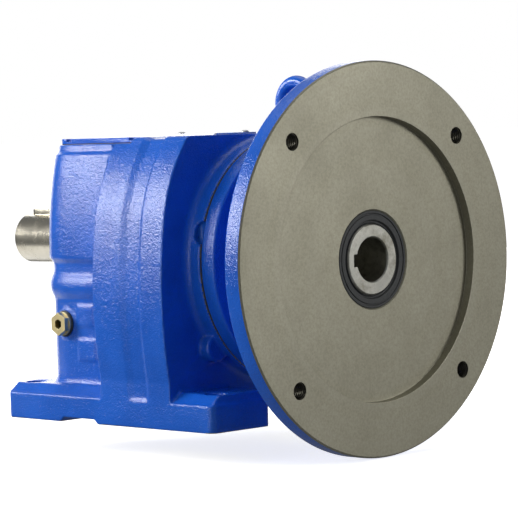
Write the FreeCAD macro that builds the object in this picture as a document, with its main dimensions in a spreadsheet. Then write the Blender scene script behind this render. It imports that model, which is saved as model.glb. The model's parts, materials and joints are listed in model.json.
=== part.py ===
"""Foot-mounted in-line helical gearbox with a hollow-shaft motor adaptor, in millimetres.

Row frame: the origin is the centre of the foot bolt pattern on the foot plane, +X points along
the shafts towards the motor flange, +Y is the side of the breather, and +Z is up.
"""

import FreeCAD, Part

import math
import os

import Sketcher

ROOT_3 = math.sqrt(3.0)
ROOT_2 = math.sqrt(2.0)
TOLERANCE = 1e-7

doc = FreeCAD.newDocument("gearbox")


# ---------------------------------------------------------------- driving dimensions

DIMENSIONS = {
    # heights of the two outside shafts above the foot plane
    "input_axis_height": 103.5,
    "output_axis_height": 115.0,
    # casting: stations along X
    "front_face": 61.0,
    "rim_rear": 40.0,
    "strip_rear": 27.0,
    "shoulder_rear": -5.0,
    "rear_face": -86.5,
    "ring_face": 73.0,
    "boss_face": -106.0,
    # casting: outline across
    "body_half_width": 98.0,
    "body_top": 185.0,
    "bulge_radius": 319.0,
    "bulge_low": 30.0,
    "bulge_high": 133.0,
    "shoulder_radius": 113.0,
    "shoulder_half_width": 77.5,
    "strip_inset": 1.3,
    "tail_half_width": 89.0,
    "tail_low_half_width": 86.5,
    "tail_bulge_radius": 340.0,
    "tail_corner_radius": 41.0,
    "tail_top": 181.2,
    "ring_radius": 80.0,
    "ring_fillet": 4.5,
    "boss_radius": 40.0,
    # feet
    "foot_half_length": 99.0,
    "foot_inner": 46.0,
    "foot_thickness": 17.5,
    "foot_top": 23.5,
    "floor_bottom": 14.0,
    "foot_hole_x": 87.0,
    "foot_hole_y": 82.0,
    "foot_hole_radius": 6.75,
    # chambers
    "cavity_floor": 21.0,
    "cavity_top": 172.0,
    "rear_cavity_start": -76.0,
    "rear_cavity_half_width": 74.0,
    "rear_cavity_corner": 24.0,
    "web_rear": -8.0,
    "web_front": 12.0,
    "front_cavity_end": 53.0,
    "front_cavity_half_width": 91.0,
    # top cover
    "cover_rear": -71.0,
    "cover_front": 10.0,
    "cover_half_width": 70.0,
    "cover_corner": 8.0,
    "cover_thickness": 3.3,
    "gasket_thickness": 0.5,
    "cover_step": 10.5,
    "opening_rear": -62.0,
    "opening_front": -14.0,
    "opening_half_width": 55.0,
    # motor adaptor
    "flange_face": 154.0,
    "flange_back": 141.0,
    "flange_radius": 125.0,
    "recess_radius": 90.0,
    "recess_depth": 6.0,
    "flange_bolt_circle": 215.0,
    "flange_hole_radius": 5.1,
    "neck_radius": 56.0,
    "adaptor_ring_front": 86.0,
    "spigot_radius": 57.5,
    "spigot_end": 58.0,
    "input_seal_radius": 31.0,
    "adaptor_gasket_thickness": 1.5,
    "adaptor_bolt_circle": 138.0,
    # shafts
    "input_bore_radius": 14.0,
    "input_sleeve_radius": 22.5,
    "input_end": 147.5,
    "output_shaft_radius": 17.5,
    "output_shaft_length": 70.0,
    "output_shoulder": -113.0,
    # gears: transverse data follows from these
    "first_module": 1.5,
    "first_helix": 20.0,
    "input_pinion_teeth": 19.0,
    "intermediate_wheel_teeth": 53.0,
    "second_module": 2.0,
    "second_helix": 15.0,
    "intermediate_pinion_teeth": 15.0,
    "output_wheel_teeth": 48.0,
    "backlash": 0.3,
    "running_gap": 0.3,
    "thread_gap": 0.15,
}

sheet = doc.addObject("Spreadsheet::Sheet", "sizes")
for row, (alias, number) in enumerate(DIMENSIONS.items(), start=1):
    sheet.set(f"A{row}", alias)
    sheet.set(f"B{row}", str(number))
    sheet.setAlias(f"B{row}", alias)
doc.recompute()


class Size:
    """A length with its number and the sheet expression that it comes from."""

    def __init__(self, number, text):
        self.number = float(number)
        self.text = text

    def joined(self, other, symbol, number):
        return Size(number, f"({self.text} {symbol} {sized(other).text})")

    def __add__(self, other):
        return self.joined(other, "+", self.number + sized(other).number)

    def __sub__(self, other):
        return self.joined(other, "-", self.number - sized(other).number)

    def __mul__(self, factor):
        return self.joined(factor, "*", self.number * factor)

    def __truediv__(self, factor):
        return self.joined(factor, "/", self.number / factor)

    def __neg__(self):
        return Size(-self.number, f"(-1 * {self.text})")

    __radd__ = __add__
    __rmul__ = __mul__

    def __rsub__(self, other):
        return sized(other) - self


def sized(value):
    return value if isinstance(value, Size) else Size(value, repr(float(value)))


def cell(alias):
    """The named driving dimension as a Size."""
    return Size(sheet.get(alias), f"sizes.{alias}")


def bind(thing, prop, value):
    """Tie a property of a document object to the sheet."""
    thing.setExpression(prop, sized(value).text)


# ---------------------------------------------------------------- sketch and feature helpers

def new_body(name, x=0.0, y=0.0, z=0.0):
    """An empty PartDesign body that carries the sub-part's name."""
    body = doc.addObject("PartDesign::Body", name)
    body.Label = name
    for axis, value in zip("xyz", (x, y, z)):
        bind(body, f"Placement.Base.{axis}", value)
    return body


def new_sketch(body, plane, offset=0.0):
    """A sketch on one of the body's own origin planes, moved along the plane's normal."""
    sketch = body.newObject("Sketcher::SketchObject", f"{body.Name}_sketch")
    origin_plane = next(item for item in body.Origin.OriginFeatures if item.Role == plane)
    sketch.AttachmentSupport = [(origin_plane, "")]
    sketch.MapMode = "FlatFace"
    bind(sketch, "AttachmentOffset.Base.z", offset)
    return sketch


def pin_point(sketch, geometry, point, x, y):
    """Fix one point of a sketch from the sketch origin."""
    for value, kind, axis in ((sized(x), "DistanceX", -2), (sized(y), "DistanceY", -1)):
        if abs(value.number) < TOLERANCE:
            sketch.addConstraint(Sketcher.Constraint("PointOnObject", geometry, point, axis))
            continue
        index = sketch.addConstraint(
            Sketcher.Constraint(kind, -1, 1, geometry, point, value.number))
        bind(sketch, f"Constraints[{index}]", value)


def arc_between(start, end, radius, side):
    """An arc from start to end that bulges to its right (side 1) or to its left (side -1)."""
    chord = end.sub(start)
    half = chord.Length / 2
    right = FreeCAD.Vector(chord.y, -chord.x, 0).normalize()
    sagitta = radius - math.sqrt(radius * radius - half * half)
    return Part.Arc(start, (start + end) * 0.5 + right * sagitta * side, end)


def turning_side(points):
    """1 for an outline that runs anticlockwise, -1 for one that runs clockwise."""
    area = sum(p.x * q.y - q.x * p.y for p, q in zip(points, points[1:] + points[:1]))
    return 1 if area > 0 else -1


def add_outline(sketch, corners, arcs=None, hollows=()):
    """A closed outline. arcs gives the radius of the arc that leaves a corner, by its index.

    The arcs bulge outwards, apart from those whose index is in hollows.
    """
    arcs = arcs or {}
    points = [FreeCAD.Vector(sized(x).number, sized(y).number, 0) for x, y in corners]
    count = len(points)
    outwards = turning_side(points)
    ends = []
    for index, start in enumerate(points):
        end = points[(index + 1) % count]
        side = 1
        curve = Part.LineSegment(start, end)
        if index in arcs:
            side = -outwards if index in hollows else outwards
            curve = arc_between(start, end, sized(arcs[index]).number, side)
        # a sketch keeps every arc anticlockwise, so one that bulges to the left has its ends swapped
        ends.append((sketch.addGeometry(curve, False), (1, 2) if side > 0 else (2, 1)))
    for index, (geometry, (first, last)) in enumerate(ends):
        following, (following_first, _) = ends[(index + 1) % count]
        sketch.addConstraint(
            Sketcher.Constraint("Coincident", geometry, last, following, following_first))
        pin_point(sketch, geometry, first, *corners[index])
        if index in arcs:
            radius = sized(arcs[index])
            constraint = sketch.addConstraint(
                Sketcher.Constraint("Radius", geometry, radius.number))
            bind(sketch, f"Constraints[{constraint}]", radius)


def add_circle(sketch, radius, x=0.0, y=0.0):
    number = sized(radius).number
    centre = FreeCAD.Vector(sized(x).number, sized(y).number, 0)
    geometry = sketch.addGeometry(Part.Circle(centre, FreeCAD.Vector(0, 0, 1), number), False)
    index = sketch.addConstraint(Sketcher.Constraint("Radius", geometry, number))
    bind(sketch, f"Constraints[{index}]", radius)
    pin_point(sketch, geometry, 3, x, y)


class Circle:
    """A round outline for a sketch."""

    def __init__(self, radius, x=0.0, y=0.0):
        self.radius = radius
        self.x = x
        self.y = y


def box_corners(x_low, x_high, y_low, y_high):
    return [(x_low, y_low), (x_high, y_low), (x_high, y_high), (x_low, y_high)]


def round_box(x_low, x_high, y_low, y_high, radius):
    """Corners and arcs of a rectangle with rounded corners, for add_outline."""
    corners = [
        (x_low + radius, y_low), (x_high - radius, y_low),
        (x_high, y_low + radius), (x_high, y_high - radius),
        (x_high - radius, y_high), (x_low + radius, y_high),
        (x_low, y_high - radius), (x_low, y_low + radius),
    ]
    return corners, {1: radius, 3: radius, 5: radius, 7: radius}


def hexagon(across_flats):
    """Corners of a hexagon with its points on the sketch's vertical axis."""
    half = sized(across_flats) / 2
    point = sized(across_flats) / ROOT_3
    return [(half, -(point / 2)), (half, point / 2), (0, point),
            (-half, point / 2), (-half, -(point / 2)), (0, -point)]


def volume(body):
    return body.Shape.Volume if body.Tip else 0.0


def feature(body, kind, sketch, **settings):
    """A sketch-based feature, checked to have changed the body the right way."""
    before = volume(body)
    item = body.newObject(f"PartDesign::{kind}", f"{body.Name}_{kind}")
    item.Profile = (sketch, [""])
    for name, value in settings.items():
        if name in ("Length", "Angle"):
            bind(item, name, value)
        else:
            setattr(item, name, value)
    doc.recompute()
    after = volume(body)
    grows = kind in ("Pad", "Revolution", "AdditivePipe", "AdditiveLoft")
    if (after <= before + TOLERANCE) if grows else (after >= before - TOLERANCE):
        raise RuntimeError(f"{item.Name} changed the volume from {before:.3f} to {after:.3f}")
    return item


def pad(body, plane, offset, length, shapes, reverse=False):
    """Pad shapes: each is a Circle, or an outline's corners, arcs and hollows."""
    return extrude(body, "Pad", plane, offset, length, shapes, reverse)


def pocket(body, plane, offset, length, shapes, reverse=False):
    """Cut outlines, against the plane's normal unless reversed."""
    return extrude(body, "Pocket", plane, offset, length, shapes, reverse)


def extrude(body, kind, plane, offset, length, shapes, reverse):
    sketch = new_sketch(body, plane, offset)
    for shape in shapes:
        if isinstance(shape, Circle):
            add_circle(sketch, shape.radius, shape.x, shape.y)
        else:
            add_outline(sketch, *shape)
    return feature(body, kind, sketch, Length=length, Reversed=reverse)


def turned(body, corners, arcs=None, hollows=(), kind="Revolution"):
    """Revolve (x, radius) corners about the body's X axis."""
    sketch = new_sketch(body, "XZ_Plane")
    add_outline(sketch, corners, arcs, hollows)
    return feature(body, kind, sketch, ReferenceAxis=(sketch, ["H_Axis"]), Angle=360.0)


def turned_about_z(body, corners, arcs=None, hollows=(), kind="Revolution"):
    """Revolve (radius, z) corners about the body's Z axis."""
    sketch = new_sketch(body, "XZ_Plane")
    add_outline(sketch, corners, arcs, hollows)
    return feature(body, kind, sketch, ReferenceAxis=(sketch, ["V_Axis"]), Angle=360.0)


def plain_feature(name, shape, x=0.0, y=0.0, z=0.0):
    """A Part::Feature for a shape that sketches do not suit."""
    item = doc.addObject("Part::Feature", name)
    item.Label = name
    item.Shape = shape
    for axis, value in zip("xyz", (x, y, z)):
        bind(item, f"Placement.Base.{axis}", value)
    return item


# ---------------------------------------------------------------- places that several pieces share

input_height = cell("input_axis_height")
output_height = cell("output_axis_height")


def centre_distance(module, helix, first_teeth, second_teeth):
    """Centre distance of a helical pair with no profile shift."""
    text = (f"({cell(module).text} * ({cell(first_teeth).text} + {cell(second_teeth).text})"
            f" / (2 * cos({cell(helix).text} * 1deg)))")
    number = (cell(module).number * (cell(first_teeth).number + cell(second_teeth).number)
              / (2 * math.cos(math.radians(cell(helix).number))))
    return Size(number, text)


first_distance = centre_distance(
    "first_module", "first_helix", "input_pinion_teeth", "intermediate_wheel_teeth")
second_distance = centre_distance(
    "second_module", "second_helix", "intermediate_pinion_teeth", "output_wheel_teeth")

shaft_rise = output_height.number - input_height.number
intermediate_drop = ((second_distance.number ** 2 - first_distance.number ** 2
                      - shaft_rise ** 2) / (2 * shaft_rise))
intermediate_y = math.sqrt(first_distance.number ** 2 - intermediate_drop ** 2)
intermediate_z = input_height.number - intermediate_drop


# ---------------------------------------------------------------- places of fasteners and plugs

# (x, z) of each oil plug on the side walls, and the distance of its seat from the centre plane
LEVEL_PLUG = (-49.5, 63.6)
DRAIN_PLUG = (-46.0, 38.0)
BREATHER_PLUG = (-40.0, 140.0)
LOW_PLUG_SEAT = 87.1
HIGH_PLUG_SEAT = 89.5
PLUG_HOLE_RADIUS = 6.0
COVER_SCREWS = [(x, y) for x in (-49.0, -8.0) for y in (-62.0, 62.0)]
COVER_NOTCHES = [(x, y) for x in (-59.0, 3.0) for y in (-70.0, 70.0)]
COVER_SCREW_RADIUS = 3.0
COUNTERSINK = 2.9
BOLT_RADIUS = 5.0
PLATE_REAR = 12.0
PLATE_FRONT = 57.5
PLATE_CENTRE_Y = -28.0
PLATE_HALF_WIDTH = 19.0
RIVETS = [(16.0, -37.5), (53.0, -16.0)]
RIVET_RADIUS = 1.5
EYEBOLT_X = 85.0
EYEBOLT_SEAT = 185.5
EYEBOLT_THREAD_RADIUS = 4.0
THREAD_GAP = cell("thread_gap").number

# a height and a depth that clear the whole casting
ABOVE = 200.0
THROUGH = 42.0


def four_around(spread, radius, x=0.0, y=0.0):
    """Four round holes at the corners of a square, for bolts at 45 degrees."""
    return [Circle(radius, x + spread * i, y + spread * j) for i in (-1, 1) for j in (-1, 1)]


def screw_holes(places, radius):
    return [Circle(radius + THREAD_GAP, x, y) for x, y in places]


# ---------------------------------------------------------------- casting

def body_outline(inset):
    """Barrel-sided cross-section of the front of the casting, open edges down to the feet."""
    half = cell("body_half_width") - inset
    low = cell("bulge_low")
    high = cell("bulge_high")
    shoulder = cell("shoulder_half_width") - inset
    top = cell("body_top") - inset
    edge = 6.0
    right = [(half, 0), (half, low), (half, high), (shoulder, top - 3.5), (shoulder - 4, top)]
    left = [(-x, z) for x, z in reversed(right)]
    bulge = cell("bulge_radius") - inset
    rounding = cell("shoulder_radius") - inset
    return right + left, {1: bulge, 2: rounding, 3: edge, 5: edge, 6: rounding, 7: bulge}


def tail_side():
    """(half-width, height) of the tail's side wall: its long rib, its step and its stepped top."""
    low = cell("tail_low_half_width")
    wide = cell("tail_half_width")
    return [(low, 0), (low, 80), (low, 96.5), (low, 103.3), (wide, 106.6), (wide - 6.5, 175),
            (wide - 8.5, 176), (wide - 9, cell("tail_top"))]


def tail_arcs(first=0):
    """Arcs of the tail's side wall, for an outline that starts it at corner number first."""
    rib = 14.3
    return {first + 1: rib, first + 4: cell("tail_bulge_radius")}


def tail_outline():
    """Cross-section of the rear of the casting."""
    right = tail_side()
    left = [(-x, z) for x, z in reversed(right)]
    last = len(right) + len(left) - 2
    arcs = tail_arcs()
    arcs.update({last - index: radius for index, radius in tail_arcs().items()})
    return right + left, arcs


def corner_places():
    """Station of the upright axes of the tail's two rear corners, and their distance apart."""
    radius = cell("tail_corner_radius")
    return cell("rear_face") + radius, cell("tail_half_width") - radius


def turn_corner(body, side, corners, arcs=None, hollows=()):
    """Turn (half-width, z) corners a quarter of the way round one rear corner of the tail."""
    station, half = corner_places()
    sketch = new_sketch(body, "XZ_Plane", half * -side)
    axis_line = sketch.addGeometry(
        Part.LineSegment(FreeCAD.Vector(station.number, 0, 0),
                         FreeCAD.Vector(station.number, 10, 0)), True)
    pin_point(sketch, axis_line, 1, station, 0)
    pin_point(sketch, axis_line, 2, station, 10)
    add_outline(sketch, [(station - (width - half), z) for width, z in corners], arcs, hollows)
    feature(body, "Revolution", sketch, ReferenceAxis=(sketch, ["Axis0"]), Angle=90.0,
            Reversed=side > 0)


def add_tail(body):
    """The tail: its side wall runs straight, then round both rear corners and across the back."""
    station, half = corner_places()
    top = cell("tail_top")
    pad(body, "YZ_Plane", station, cell("shoulder_rear") - station, [tail_outline()])
    back = [(station, 0)] + [(station - (width - half), z) for width, z in tail_side()]
    back.append((station, top))
    pad(body, "XZ_Plane", -half, half * 2, [(back, tail_arcs(1))])
    for side in (1, -1):
        turn_corner(body, side, [(half, 0)] + tail_side() + [(half, top)], tail_arcs(1))


def foot_ramp(side=1):
    """Concave ramp from the tail's side wall down to the edge of the foot."""
    wall = cell("tail_low_half_width")
    foot = cell("foot_thickness")
    ramp_width, ramp_height, ramp_radius = 8.0, 14.0, 13.0
    edge = wall + ramp_width
    corners = [((wall - 1) * side, foot - 1), (edge * side, foot - 1), (edge * side, foot),
               (wall * side, foot + ramp_height)]
    return corners, {2: ramp_radius}, (2,)


def add_main_blocks(body):
    """The rounded tail, the barrel-sided front with its recessed strip, and the two feet."""
    shoulder = cell("shoulder_rear")
    strip = cell("strip_rear")
    rim = cell("rim_rear")
    front = cell("front_face")
    half = cell("body_half_width")
    inner = cell("foot_inner")
    foot_half = cell("foot_half_length")
    foot_corner = 5.0
    station, _ = corner_places()
    add_tail(body)
    slope_start = strip - 6
    pad(body, "YZ_Plane", shoulder, slope_start - shoulder, [body_outline(0.0)])
    inset = cell("strip_inset")
    slope_end = new_sketch(body, "YZ_Plane", strip)
    add_outline(slope_end, *body_outline(inset))
    slope = new_sketch(body, "YZ_Plane", slope_start)
    add_outline(slope, *body_outline(0.0))
    feature(body, "AdditiveLoft", slope, Sections=[slope_end], Ruled=True)
    pad(body, "YZ_Plane", strip, rim - strip, [body_outline(inset)])
    pad(body, "YZ_Plane", rim, front - rim, [body_outline(0.0)])
    step = box_corners(-half, half, cell("tail_top"), cell("body_top") + 1)
    pocket(body, "YZ_Plane", cell("cover_step"), cell("cover_step") - shoulder + 1, [(step,)])
    pad(body, "YZ_Plane", station, shoulder - station, [foot_ramp(1), foot_ramp(-1)])
    for side in (1, -1):
        turn_corner(body, side, *foot_ramp())
    feet = [round_box(-foot_half, foot_half, inner, half, foot_corner),
            round_box(-foot_half, foot_half, -half, -inner, foot_corner)]
    foot = cell("foot_thickness")
    pad(body, "XY_Plane", 0, foot, feet)
    rim_width, bevel_width = 1.5, 7.0
    edge = half - rim_width
    top = cell("foot_top")
    raised = [([(inner * side, foot - 1), (edge * side, foot - 1), (edge * side, foot),
                ((edge - bevel_width) * side, top), (inner * side, top)],) for side in (1, -1)]
    pad(body, "YZ_Plane", rim_width - foot_half, (foot_half - rim_width) * 2, raised)


def add_front_boss(body):
    """Round boss that carries the adaptor, with its fillet, and two blind lugs low beside it."""
    front = cell("front_face")
    fillet = cell("ring_fillet")
    ring = cell("ring_radius")
    root = front - 1
    pad(body, "YZ_Plane", root, cell("ring_face") - root, [Circle(ring, 0, input_height)])
    flare = new_sketch(body, "XZ_Plane")
    axis_line = flare.addGeometry(
        Part.LineSegment(FreeCAD.Vector(0, input_height.number, 0),
                         FreeCAD.Vector(10, input_height.number, 0)), True)
    pin_point(flare, axis_line, 1, 0, input_height)
    pin_point(flare, axis_line, 2, 10, input_height)
    add_outline(flare, [
        (root, input_height + ring - 2), (front + fillet, input_height + ring - 2),
        (front + fillet, input_height + ring), (front, input_height + ring + fillet),
        (root, input_height + ring + fillet)], {2: fillet}, (2,))
    feature(body, "Revolution", flare, ReferenceAxis=(flare, ["Axis0"]), Angle=360.0)
    over_the_top = box_corners(-150, 150, cell("body_top"), cell("body_top") + 20)
    pocket(body, "YZ_Plane", front + fillet + 1, 16, [(over_the_top,)])
    lug_radius, lug_y, lug_z, lug_height = 9.0, 62.0, 54.0, 8.0
    lugs = [Circle(lug_radius, lug_y * side, input_height - lug_z) for side in (-1, 1)]
    pad(body, "YZ_Plane", root, lug_height + 1, lugs)


def add_small_bosses(body):
    """Output bearing boss, plug seats and casting pads."""
    root = cell("rear_face") + 6
    pad(body, "YZ_Plane", root, root - cell("boss_face"),
        [Circle(cell("boss_radius"), 0, output_height)], reverse=True)
    seat_depth, seat_radius = 5.0, 10.0
    for side, place, seat in ((-1, LEVEL_PLUG, LOW_PLUG_SEAT), (1, DRAIN_PLUG, LOW_PLUG_SEAT),
                              (1, BREATHER_PLUG, HIGH_PLUG_SEAT)):
        pad(body, "XZ_Plane", (seat_depth - seat) * side, seat_depth,
            [Circle(seat_radius, *place)], reverse=side > 0)
    pad_height = 3.0
    pads = [(box_corners(-37, -22, 62.5, 75.5),), (box_corners(-37, -20.5, 40, 53.5),)]
    pad(body, "XZ_Plane", cell("tail_low_half_width") + 1 - pad_height, pad_height, pads)


def cut_underside(body):
    """Arch between the feet, relief across their soles, and spot-faced foot bolt holes."""
    half = cell("body_half_width")
    inner = cell("foot_inner")
    foot_half = cell("foot_half_length")
    arch = box_corners(-inner, inner, -1, cell("floor_bottom"))
    pocket(body, "YZ_Plane", foot_half + 1, foot_half * 2 + 2, [(arch,)])
    relief = [(-45, -1), (-9, -1), (-9, 0), (-12, 3), (-42, 3), (-45, 0)]
    pocket(body, "XZ_Plane", -half - 1, half * 2 + 2, [(relief,)], reverse=True)
    spot_face_radius, spot_face_depth, spot_face_top = 11.0, 0.3, 36.0
    for radius, top, depth in (
            (cell("foot_hole_radius"), THROUGH - 2, THROUGH),
            (spot_face_radius, spot_face_top,
             spot_face_top - cell("foot_top") + spot_face_depth)):
        pocket(body, "XY_Plane", top, depth,
               [Circle(radius, cell("foot_hole_x") * i, cell("foot_hole_y") * j)
                for i in (-1, 1) for j in (-1, 1)])


def cut_pry_notches(body):
    """Notches in both sides of the front boss, for a lever that parts the joint."""
    notch = round_box(66.5, 76, input_height + 13, input_height + 27, 4.6)
    for side in (-1, 1):
        pocket(body, "XZ_Plane", -90.0 * side, 18, [notch], reverse=side > 0)


def cut_chambers(body):
    """The two chambers, the web between them and the opening under the top cover."""
    floor = cell("cavity_floor")
    ceiling = cell("cavity_top")
    back = cell("rear_cavity_start")
    half = cell("rear_cavity_half_width")
    corner = cell("rear_cavity_corner")
    web_rear = cell("web_rear")
    plan = [(web_rear, -half), (web_rear, half), (back + corner, half), (back, half - corner),
            (back, -(half - corner)), (back + corner, -half)]
    pocket(body, "XY_Plane", ceiling, ceiling - floor, [(plan, {2: corner, 4: corner})])
    front_half, haunch, ceiling_half = cell("front_cavity_half_width"), 110.0, 74.0
    section = [(front_half, floor), (front_half, haunch), (ceiling_half, ceiling),
               (-ceiling_half, ceiling), (-front_half, haunch), (-front_half, floor)]
    end = cell("front_cavity_end")
    pocket(body, "YZ_Plane", end, end - cell("web_front"), [(section,)])
    opening = cover_window()
    pocket(body, "XY_Plane", ABOVE, ABOVE - ceiling + 1, [opening])
    oil_passages = [Circle(13.0, -48, 48), Circle(9.0, -52, 146)]
    pocket(body, "YZ_Plane", cell("web_front") + 1, 22, oil_passages)


def cover_window():
    corner = 10.0
    return round_box(cell("opening_rear"), cell("opening_front"),
                     -cell("opening_half_width"), cell("opening_half_width"), corner)


def bearing_seat(name, shoulder=0.0):
    """The bore that a bearing sits in, or the smaller one behind its shoulder."""
    bearing = BEARINGS[name]
    return Circle(bearing.outside - shoulder, *bearing.place)


def cut_bearing_seats(body):
    """Stepped bores for the bearings in the casting, and the bore for the adaptor's spigot."""
    inner_rear = BEARINGS["intermediate_rear_bearing"]
    boss_wall = 6.0
    boss = new_sketch(body, "YZ_Plane", cell("rear_cavity_start") - 1)
    add_circle(boss, inner_rear.outside + boss_wall, *inner_rear.place)
    feature(body, "Pad", boss, Length=11.0, Reversed=False)
    pocket(body, "YZ_Plane", inner_rear.rear + inner_rear.width + 1, inner_rear.width + 1,
           [bearing_seat(inner_rear.name)])

    outer_rear = BEARINGS["output_rear_bearing"]
    boss_face = cell("boss_face").number
    inside = outer_rear.rear + outer_rear.width
    pocket(body, "YZ_Plane", boss_face - 1, inside - boss_face + 1,
           [bearing_seat(outer_rear.name)], reverse=True)
    pocket(body, "YZ_Plane", inside - 10, 20.0, [bearing_seat(outer_rear.name, 4.0)], reverse=True)
    groove_width = 2.7
    pocket(body, "YZ_Plane", outer_rear.rear - groove_width, groove_width,
           [Circle(outer_rear.outside + 2, *outer_rear.place)], reverse=True)

    start = cell("web_front") + 1
    seats = ("output_front_bearing", "intermediate_front_bearing")
    web_seat_depth, web_depth = 17.0, 22.0
    pocket(body, "YZ_Plane", start, web_seat_depth, [bearing_seat(name) for name in seats])
    pocket(body, "YZ_Plane", start, web_depth, [bearing_seat(name, 4.3) for name in seats])
    pocket(body, "YZ_Plane", cell("ring_face") + 1, 24.0,
           [Circle(cell("spigot_radius") + 0.1, 0, input_height)])


def cut_fastener_holes(body):
    """Holes for the oil plugs, adaptor bolts, cover screws and rivets."""
    for side, place in ((-1, LEVEL_PLUG), (1, DRAIN_PLUG), (1, BREATHER_PLUG)):
        pocket(body, "XZ_Plane", -100.0 * side, 40.0,
               [Circle(PLUG_HOLE_RADIUS, *place)], reverse=side > 0)
    spread = cell("adaptor_bolt_circle") / (2 * ROOT_2)
    tapped = four_around(spread, BOLT_RADIUS + THREAD_GAP, 0, input_height)
    bolt_hole_depth, screw_hole_depth, rivet_hole_depth = 18.0, 19.0, 7.0
    top = cell("body_top").number
    pocket(body, "YZ_Plane", cell("ring_face") + 1, bolt_hole_depth + 1, tapped)
    pocket(body, "XY_Plane", ABOVE, ABOVE - top + screw_hole_depth,
           screw_holes(COVER_SCREWS, COVER_SCREW_RADIUS))
    pocket(body, "XY_Plane", ABOVE, ABOVE - top + rivet_hole_depth,
           screw_holes(RIVETS, RIVET_RADIUS))


def make_housing():
    body = new_body("housing")
    add_main_blocks(body)
    add_front_boss(body)
    add_small_bosses(body)
    cut_underside(body)
    cut_pry_notches(body)
    cut_chambers(body)
    cut_bearing_seats(body)
    cut_fastener_holes(body)


# ---------------------------------------------------------------- covers, plate and fasteners

def make_top_cover():
    rear, front = cell("cover_rear"), cell("cover_front")
    half = cell("cover_half_width")
    bottom = cell("tail_top")
    thickness = cell("gasket_thickness")
    outline = round_box(rear, front, -half, half, cell("cover_corner"))
    holes = screw_holes(COVER_SCREWS, COVER_SCREW_RADIUS)
    notch_radius = 3.0

    gasket = new_body("top_cover_gasket")
    pad(gasket, "XY_Plane", bottom, thickness, [outline, cover_window()] + holes)

    cover = new_body("top_cover")
    pad(cover, "XY_Plane", bottom + thickness, cell("cover_thickness"), [outline] + holes)
    pocket(cover, "XY_Plane", cell("body_top") + 1, 3.0,
           [Circle(notch_radius, x, y) for x, y in COVER_NOTCHES])
    hole_radius = COVER_SCREW_RADIUS + THREAD_GAP
    top = cell("body_top").number
    round_edges(cover, "Chamfer", COUNTERSINK, lambda edge: is_circle(edge, hole_radius)
                and edge.BoundBox.ZMin > top - TOLERANCE)


def is_circle(edge, radius):
    curve = edge.Curve
    return hasattr(curve, "Radius") and abs(curve.Radius - radius) < 1e-3 and edge.isClosed()


def round_edges(body, kind, size, wanted):
    """Fillet or chamfer the edges of the body's tip that pass a test."""
    base = body.Tip
    names = [f"Edge{number}" for number, edge in enumerate(base.Shape.Edges, start=1)
             if wanted(edge)]
    item = body.newObject(f"PartDesign::{kind}", f"{body.Name}_{kind}")
    item.Base = (base, names)
    bind(item, "Radius" if kind == "Fillet" else "Size", size)
    doc.recompute()
    if abs(item.Shape.Volume - base.Shape.Volume) < TOLERANCE:
        raise RuntimeError(f"{item.Name} changed nothing")


def turned_shape(corners):
    """A solid of revolution about X from (x, radius) corners."""
    points = [FreeCAD.Vector(x, 0, radius) for x, radius in corners]
    face = Part.Face(Part.makePolygon(points + points[:1]))
    return face.revolve(FreeCAD.Vector(0, 0, 0), FreeCAD.Vector(1, 0, 0), 360)


def turned_up(corners):
    """A solid of revolution about Z from (radius, z) corners."""
    points = [FreeCAD.Vector(radius, 0, z) for radius, z in corners]
    face = Part.Face(Part.makePolygon(points + points[:1]))
    return face.revolve(FreeCAD.Vector(0, 0, 0), FreeCAD.Vector(0, 0, 1), 360)


def hexagon_prism(across_flats, start, length):
    """A hexagonal prism along X."""
    radius = across_flats / ROOT_3
    points = [FreeCAD.Vector(start, radius * math.cos(math.radians(60 * i)),
                             radius * math.sin(math.radians(60 * i))) for i in range(7)]
    return Part.Face(Part.makePolygon(points)).extrude(FreeCAD.Vector(length, 0, 0))


def group_at(shape, places):
    """Copies of a shape at places, as one compound of separate solids."""
    copies = []
    for place in places:
        copy = shape.copy()
        copy.translate(FreeCAD.Vector(*place))
        copies.append(copy)
    return Part.makeCompound(copies)


def make_cover_screws():
    """Countersunk screws with a hexagon socket, a little below the cover's face."""
    top = cell("body_top").number
    radius = COVER_SCREW_RADIUS
    length, sunk, socket_depth, socket_width = 18.0, 0.3, 3.0, 4.0
    screw = turned_up([(0, -length), (radius, -length), (radius, -COUNTERSINK),
                       (radius + COUNTERSINK - sunk, -sunk), (0, -sunk)])
    socket = hexagon_prism(socket_width, 0, socket_depth)
    socket.rotate(FreeCAD.Vector(0, 0, 0), FreeCAD.Vector(0, 1, 0), 90)
    plain_feature("top_cover_screws",
                  group_at(screw.cut(socket), [(x, y, top) for x, y in COVER_SCREWS]))


def make_nameplate():
    """A blank plate and the two domed rivets that hold it."""
    top = cell("body_top").number
    thickness = 1.0
    rivet = turned_up([(0, -6), (RIVET_RADIUS, -6), (RIVET_RADIUS, thickness), (2.6, thickness),
                       (2.3, thickness + 0.8), (1.3, thickness + 1.3), (0, thickness + 1.4)])
    plain_feature("nameplate_rivets", group_at(rivet, [(x, y, top) for x, y in RIVETS]))
    plate = new_body("nameplate")
    corner = 2.5
    outline = round_box(PLATE_REAR, PLATE_FRONT, PLATE_CENTRE_Y - PLATE_HALF_WIDTH,
                        PLATE_CENTRE_Y + PLATE_HALF_WIDTH, corner)
    pad(plate, "XY_Plane", cell("body_top"), thickness,
        [outline] + screw_holes(RIVETS, RIVET_RADIUS))


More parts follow.
